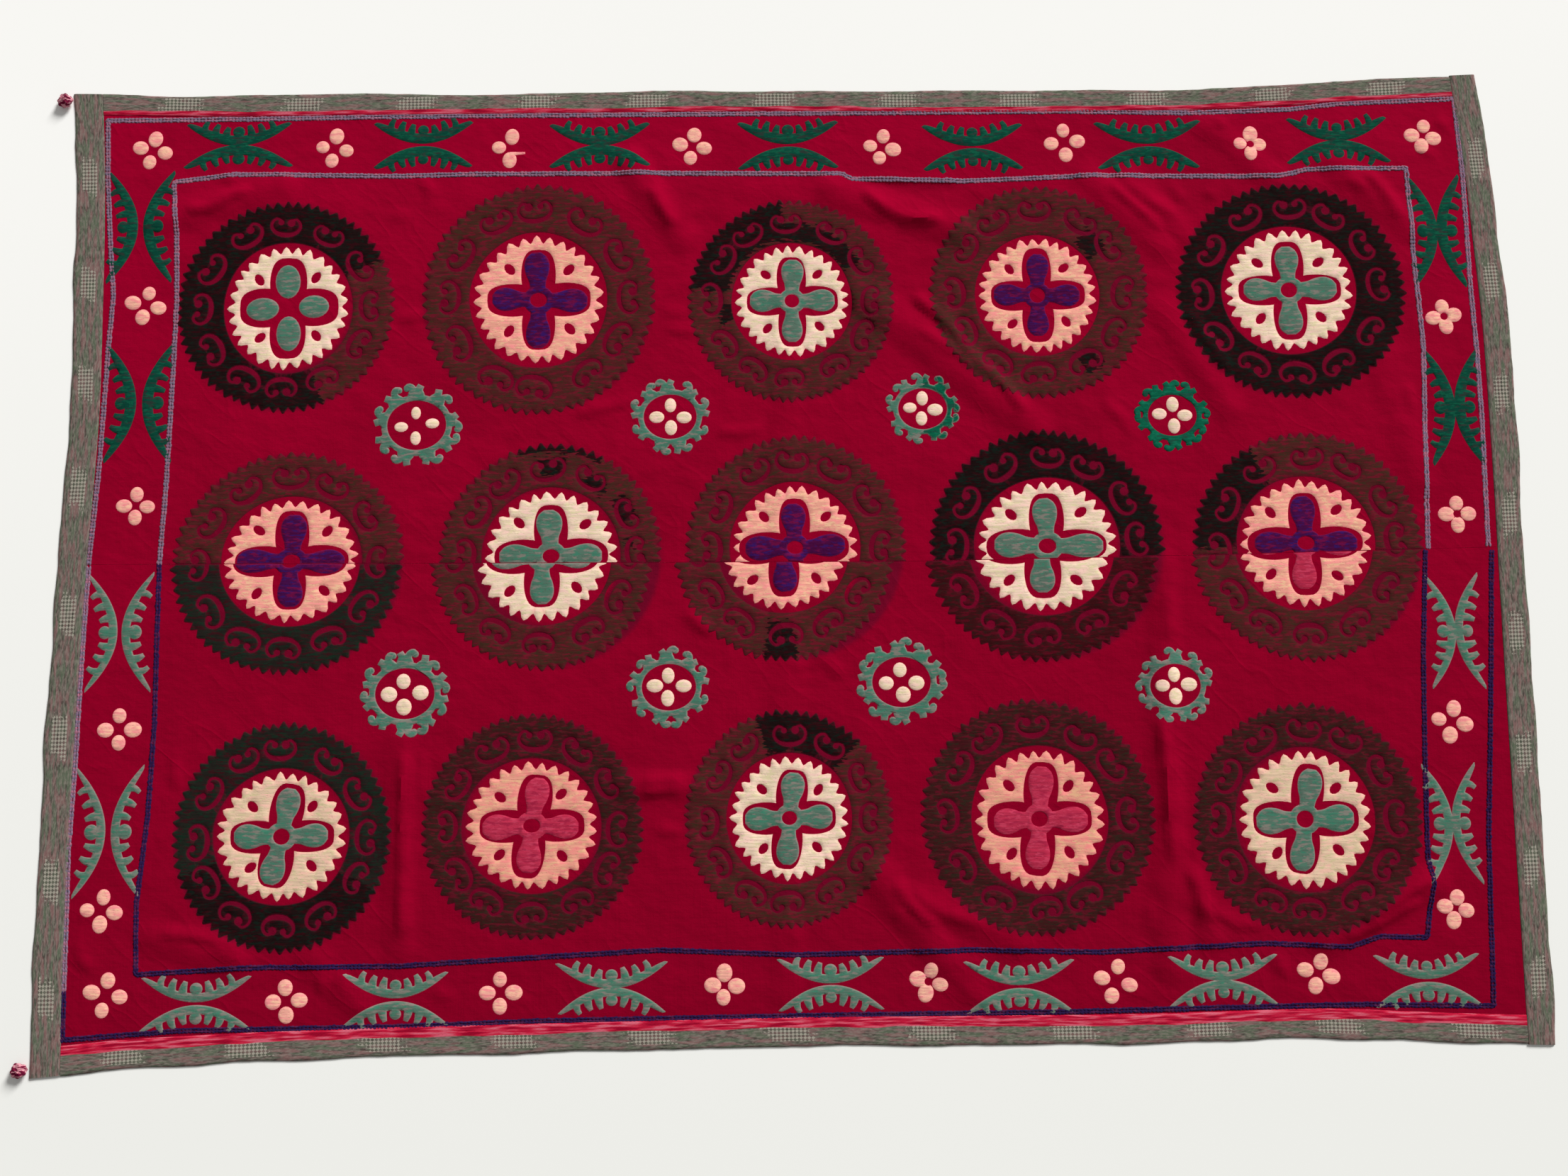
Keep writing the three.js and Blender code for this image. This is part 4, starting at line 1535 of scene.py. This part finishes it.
def walk(route, step):
    """Places a step apart along a run of places, and the direction at each."""
    route = np.array(route, float)
    legs = np.hypot(*np.diff(route, axis=0).T)
    done = np.concatenate([[0], np.cumsum(legs)])
    at = np.linspace(0, done[-1], int(done[-1] / step) + 1)
    places = np.stack([np.interp(at, done, route[:, k]) for k in range(2)], axis=1)
    run = np.gradient(places, axis=0)
    return places, np.arctan2(run[:, 1], run[:, 0])


def make_line(name, thread, route, seed):
    """A stitched line: two rows of chain stitches side by side."""
    sizes = bpy.context.scene.suzani_sizes
    draw = np.random.default_rng(seed)
    step, width = sizes.stitch_step / MM, sizes.line_width / MM
    middle, turns = walk(route, step)
    rows = []
    for hand in (-1, 1):
        aside = np.stack([-np.sin(turns), np.cos(turns)], axis=1) * hand * width / 4
        rows.append(middle + aside + draw.normal(0, 0.25, middle.shape))
    places, turns = np.vstack(rows), np.concatenate([turns, turns])
    turns = turns + draw.normal(0, 0.12, len(turns))
    scales = np.stack([
        step * draw.uniform(0.84, 0.96, len(turns)),
        width / 4 * draw.uniform(1.35, 1.6, len(turns)),
        draw.uniform(0.65, 0.9, len(turns)),
    ], axis=1)
    piece = copies(name, stitch_form(), places, turns, scales, cloth_top(*places.T) + 0.25)
    soften(piece, 60)
    settle(piece, name, thread_material(thread))


def tape_section(width):
    """The tape's closed section, round from its underside: place across from its outer edge, height."""
    return np.array([
        (0.4, 0.0), (0.0, 0.7), (0.5, TAPE_EDGE_THICK), (2.2, 2.15), (4.5, 2.6),
        (TAPE_ROLL, TAPE_THICK + 0.05),
        (width * 0.3, TAPE_THICK - 0.1), (width * 0.45, TAPE_THICK), (width * 0.6, TAPE_THICK - 0.08),
        (width * 0.75, TAPE_THICK), (width * 0.9, TAPE_THICK), (width - 0.8, TAPE_THICK - 0.15),
        (width, 1.5), (width, 0.2), (width - 0.5, 0.0), (width * 0.5, 0.0),
    ])


# Columns: name, node, outer edge, width, +1 where the cloth lies at larger values, whether it runs up
# the cloth, width of its red band, from where to where across its checked patches lie, and where
# along it.
Tape = namedtuple("Tape", "name node edge width inward upright red_band patch_low patch_high patches")
TAPES = (
    Tape(
        "tape_left", "binding_left", LEFT_EDGE, LEFT_TAPE, 1, True, 0, 10, 34,
        (-652, -484, -258, -76, 128, 294, 452, 632),
    ),
    Tape(
        "tape_right", "binding_right", RIGHT_EDGE, RIGHT_TAPE, -1, True, 0, 9, 32,
        (-664, -502, -330, -146, 38, 234, 414, 620),
    ),
    Tape(
        "tape_top", "binding_top", TOP_EDGE, TOP_TAPE, -1, False, 9, 6, 27,
        (-957, -762, -580, -383, -209, -2, 199, 390, 601, 804, 987),
    ),
    Tape(
        "tape_bottom", "binding_bottom", BOTTOM_EDGE, BOTTOM_TAPE, 1, False, 16, 8, 30,
        (-998, -815, -609, -416, -214, -5, 208, 419, 622, 814, 1020),
    ),
)


def make_tape(row):
    """One tape along a side of the cloth."""
    sizes = bpy.context.scene.suzani_sizes
    low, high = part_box(row.node)
    axis = 1 if row.upright else 0
    start, end = low[axis] / MM, high[axis] / MM
    steps = int((end - start) / (sizes.tape_step / MM))
    section = tape_section(row.width)
    sides = len(section)

    def place(share_along, share_round):
        number = np.round(share_round * sides).astype(int) % sides
        across, height = section[number].T
        begin, finish = tape_ends(row, across, start, end)
        at = begin + (finish - begin) * share_along
        puff = 0.35 * (1 + waves(at, across * 0.3, 9, 22, 70, len(row.name)))
        puff = puff * np.sin(across / row.width * math.pi)
        wander = 0.5 * waves(at, at * 0, 6, 25, 80, 8) + 2.4 * waves(at, at * 0, 5, 90, 240, 9 + row.width)
        outer = edge(row.edge, at) + wander * np.clip(1 - across / row.width, 0, 1)
        off = outer + row.inward * across
        lifted = height + np.where(height > 1, puff, 0)
        return np.stack((off, at, lifted) if row.upright else (at, off, lifted), axis=1)

    piece = grid_piece(steps, sides, place)
    bpy.ops.object.mode_set(mode="EDIT")
    bpy.ops.mesh.select_all(action="SELECT")
    bpy.ops.mesh.remove_doubles(threshold=0.02 * MM)
    bpy.ops.mesh.select_all(action="DESELECT")
    bpy.ops.mesh.select_non_manifold()
    bpy.ops.mesh.edge_face_add()
    bpy.ops.mesh.select_all(action="SELECT")
    bpy.ops.mesh.normals_make_consistent(inside=False)
    bpy.ops.object.mode_set(mode="OBJECT")
    points = points_of(piece) / MM
    at, off = points[:, axis], points[:, 1 - axis]
    across = np.clip((off - edge(row.edge, at)) * row.inward, 0, row.width)
    set_places(piece, "place", np.stack([at * MM, across * MM, at * 0], axis=1))
    centres = np.array(row.patches, float)
    centres = np.concatenate([[2 * centres[0] - centres[1]], centres, [2 * centres[-1] - centres[-2]]])
    set_values(piece, "patch_turn", np.interp(at, centres, np.arange(len(centres))))
    soften(piece, 50)
    settle(piece, row.name, tape_material(row.name + "_weave", row), [row.node])
    return piece, ((row.width + 8) * MM, (end - start) * MM)


def tape_ends(row, across, start, end):
    """Where the tape begins and ends at each place across it: the side tapes run past the others' ends."""
    near = edge(row.edge, start) + row.inward * across
    far = edge(row.edge, end) + row.inward * across
    if row.upright:
        return edge(BOTTOM_EDGE, near), edge(TOP_EDGE, far)
    return left_inner(near) + GAP, right_inner(far) - GAP


def make_panel(node_name, lower, upper):
    """One panel of the ground cloth, between two edges given as functions of X."""
    sizes = bpy.context.scene.suzani_sizes
    low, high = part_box(node_name)
    step = sizes.cloth_step
    columns, rows = int((high.x - low.x) / step), int((high.y - low.y) / step)

    def place(across, up):
        x = (low.x + (high.x - low.x) * across) / MM
        for _ in range(3):
            y = lower(x) + (upper(x) - lower(x)) * up
            left, right = left_inner(y) + GAP, right_inner(y) - GAP
            x = left + (right - left) * across
        y = lower(x) + (upper(x) - lower(x)) * up
        return np.stack([x, y, cloth_height(x, y)], axis=1)

    piece = grid_piece(columns, rows, place)
    apply_modifier(piece, "SOLIDIFY", thickness=GROUND_THICK * MM, offset=1.0)
    points = points_of(piece) / MM
    # The share of painted shade, with the threads' fluff, that the rings put on the ground.
    set_values(piece, "ringed", ringed(points[:, 0], points[:, 1]))
    soften(piece, 40)
    return piece, (high.y - low.y, high.x - low.x)


class SUZANI_OT_ground(bpy.types.Operator):
    """Weave the two crimson panels, with their creases"""

    bl_idname = "suzani.ground"
    bl_label = "Ground cloth"

    def execute(self, context):
        material = ground_material()
        panels = (
            ("ground_cloth_upper", "ground_upper", above_seam, lambda x: top_inner(x) - GAP),
            ("ground_cloth_lower", "ground_lower", lambda x: bottom_inner(x) + GAP, below_seam),
        )
        for name, node_name, lower, upper in panels:
            piece, flat = make_panel(node_name, lower, upper)
            settle(piece, name, material, [node_name])
        return {"FINISHED"}


class SUZANI_OT_tapes(bpy.types.Operator):
    """Weave the four tapes that bind the cloth"""

    bl_idname = "suzani.tapes"
    bl_label = "Tapes"

    def execute(self, context):
        for row in TAPES:
            piece, flat = make_tape(row)
        return {"FINISHED"}


class SUZANI_OT_knots(bpy.types.Operator):
    """Tie the two small knots at the left corners"""

    bl_idname = "suzani.knots"
    bl_label = "Corner knots"

    def execute(self, context):
        material = knot_material()
        for name in ("corner_knot_upper", "corner_knot_lower"):
            low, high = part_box(name)
            middle, half = (low + high) / 2, (high - low) / 2
            deselect()
            bpy.ops.mesh.primitive_uv_sphere_add(segments=48, ring_count=28, radius=1)
            piece = bpy.context.object
            points = points_of(piece)
            angle = np.arctan2(points[:, 1], points[:, 0])
            fold = 0.9 + 0.1 * np.cos(3 * angle + 4 * points[:, 2])
            fold += 0.06 * np.sin(7 * angle - 5 * points[:, 2])
            points *= fold[:, None]
            points = points * np.array(half) + np.array(middle)
            points[:, 2] = np.maximum(points[:, 2], low.z)
            set_points(piece, points)
            soften(piece, 60)
            settle(piece, name.replace("corner_", "tied_"), material, [name])
        return {"FINISHED"}


class SUZANI_OT_rosettes(bpy.types.Operator):
    """Embroider the fifteen rosettes"""

    bl_idname = "suzani.rosettes"
    bl_label = "Rosettes"

    def execute(self, context):
        for number, row in enumerate(ROSETTES):
            make_rosette(row, SEEDS["rosettes"] + number)
        return {"FINISHED"}


class SUZANI_OT_wheels(bpy.types.Operator):
    """Embroider the eight small wheels between the rosettes"""

    bl_idname = "suzani.wheels"
    bl_label = "Wheels"

    def execute(self, context):
        for number, row in enumerate(WHEELS):
            make_wheel(row, SEEDS["wheels"] + number)
        return {"FINISHED"}


class SUZANI_OT_border(bpy.types.Operator):
    """Embroider the border's blossoms and leaves"""

    bl_idname = "suzani.border"
    bl_label = "Border"

    def execute(self, context):
        for number, row in enumerate(BLOSSOMS):
            make_blossom(*row, f"blossom_{number + 1}", SEEDS["blossoms"] + number)
        for number, row in enumerate(LEAVES):
            make_leaves(*row, f"leaves_{number + 1}", SEEDS["leaves"] + number)
        return {"FINISHED"}


class SUZANI_OT_lines(bpy.types.Operator):
    """Chain-stitch the inner and outer lines of the border"""

    bl_idname = "suzani.lines"
    bl_label = "Stitched lines"

    def execute(self, context):
        for number, row in enumerate(LINES):
            make_line(*row, SEEDS["lines"] + number)
        return {"FINISHED"}


class SUZANI_OT_stage(bpy.types.Operator):
    """Set the pale floor, the soft light and the camera"""

    bl_idname = "suzani.stage"
    bl_label = "Stage"

    def execute(self, context):
        scene = context.scene
        settings = scene.suzani_stage
        deselect()
        bpy.ops.mesh.primitive_plane_add(size=FLOOR_SIZE, location=(0, 0, -FLOOR_BELOW))
        floor = context.object
        floor.name = "floor"
        material, tree, shader, place = cloth_shader("pale_floor")
        split = node(tree, "ShaderNodeSeparateXYZ", {0: place})
        mottle = span(tree, noise(tree, place, 0.6, 1.0), 0.3, 0.7, -0.08, 0.08)
        # The floor darkens towards the bottom: painted falloff of the light.
        rise = maths(tree, "ADD", span(tree, split.outputs["Y"], -0.85, 0.85), mottle)
        tone = blend(tree, rise, linear(236, 236, 231), linear(247, 246, 242))
        tree.links.new(tone, shader.inputs["Base Color"])
        floor.data.materials.append(material)
        world = bpy.data.worlds.new("studio")
        world.use_nodes = True
        world.node_tree.nodes["Background"].inputs["Color"].default_value = (1, 1, 1, 1)
        world.node_tree.nodes["Background"].inputs["Strength"].default_value = settings.sky
        scene.world = world
        bpy.ops.object.light_add(type="SUN", location=(1.8, 2.4, 2.3))
        light = context.object
        light.name = "soft_light"
        light.data.energy = settings.sun
        light.data.angle = SUN_SPREAD
        level = math.cos(settings.sun_height)
        across, upward = level * math.cos(settings.sun_turn), level * math.sin(settings.sun_turn)
        toward = Vector((across, upward, math.sin(settings.sun_height)))
        light.rotation_euler = toward.to_track_quat("Z", "Y").to_euler()
        bpy.ops.object.camera_add(location=settings.eye, rotation=(settings.tilt, 0, settings.turn))
        camera = context.object
        camera.name = "camera"
        camera.data.lens = settings.focal
        camera.data.sensor_width = SENSOR
        camera.data.clip_start, camera.data.clip_end = CLIP
        scene.camera = camera
        scene.view_settings.view_transform = "Standard"
        return {"FINISHED"}


class SUZANI_PT_panel(bpy.types.Panel):
    """Lists the steps that make the suzani"""

    bl_idname = "SUZANI_PT_panel"
    bl_label = "Suzani"
    bl_space_type = "VIEW_3D"
    bl_region_type = "UI"
    bl_category = "Suzani"

    def draw(self, context):
        for step in STEPS:
            self.layout.operator(step.bl_idname)
        scene = context.scene
        for settings in (scene.suzani_sizes, scene.suzani_colours, scene.suzani_stage):
            box = self.layout.box()
            for name in settings.__annotations__:
                box.prop(settings, name)


STEPS = (
    SUZANI_OT_stage, SUZANI_OT_ground, SUZANI_OT_tapes, SUZANI_OT_knots,
    SUZANI_OT_rosettes, SUZANI_OT_wheels, SUZANI_OT_border, SUZANI_OT_lines,
)
CLASSES = (SuzaniSizes, SuzaniColours, SuzaniStage, *STEPS, SUZANI_PT_panel)


def register():
    for item in CLASSES:
        bpy.utils.register_class(item)
    bpy.types.Scene.suzani_sizes = bpy.props.PointerProperty(type=SuzaniSizes)
    bpy.types.Scene.suzani_colours = bpy.props.PointerProperty(type=SuzaniColours)
    bpy.types.Scene.suzani_stage = bpy.props.PointerProperty(type=SuzaniStage)


def unregister():
    del bpy.types.Scene.suzani_stage
    del bpy.types.Scene.suzani_colours
    del bpy.types.Scene.suzani_sizes
    for item in reversed(CLASSES):
        bpy.utils.unregister_class(item)


def main():
    register()
    for step in STEPS:
        family, name = step.bl_idname.split(".")
        getattr(getattr(bpy.ops, family), name)()
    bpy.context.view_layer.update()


if __name__ == "__main__":
    main()
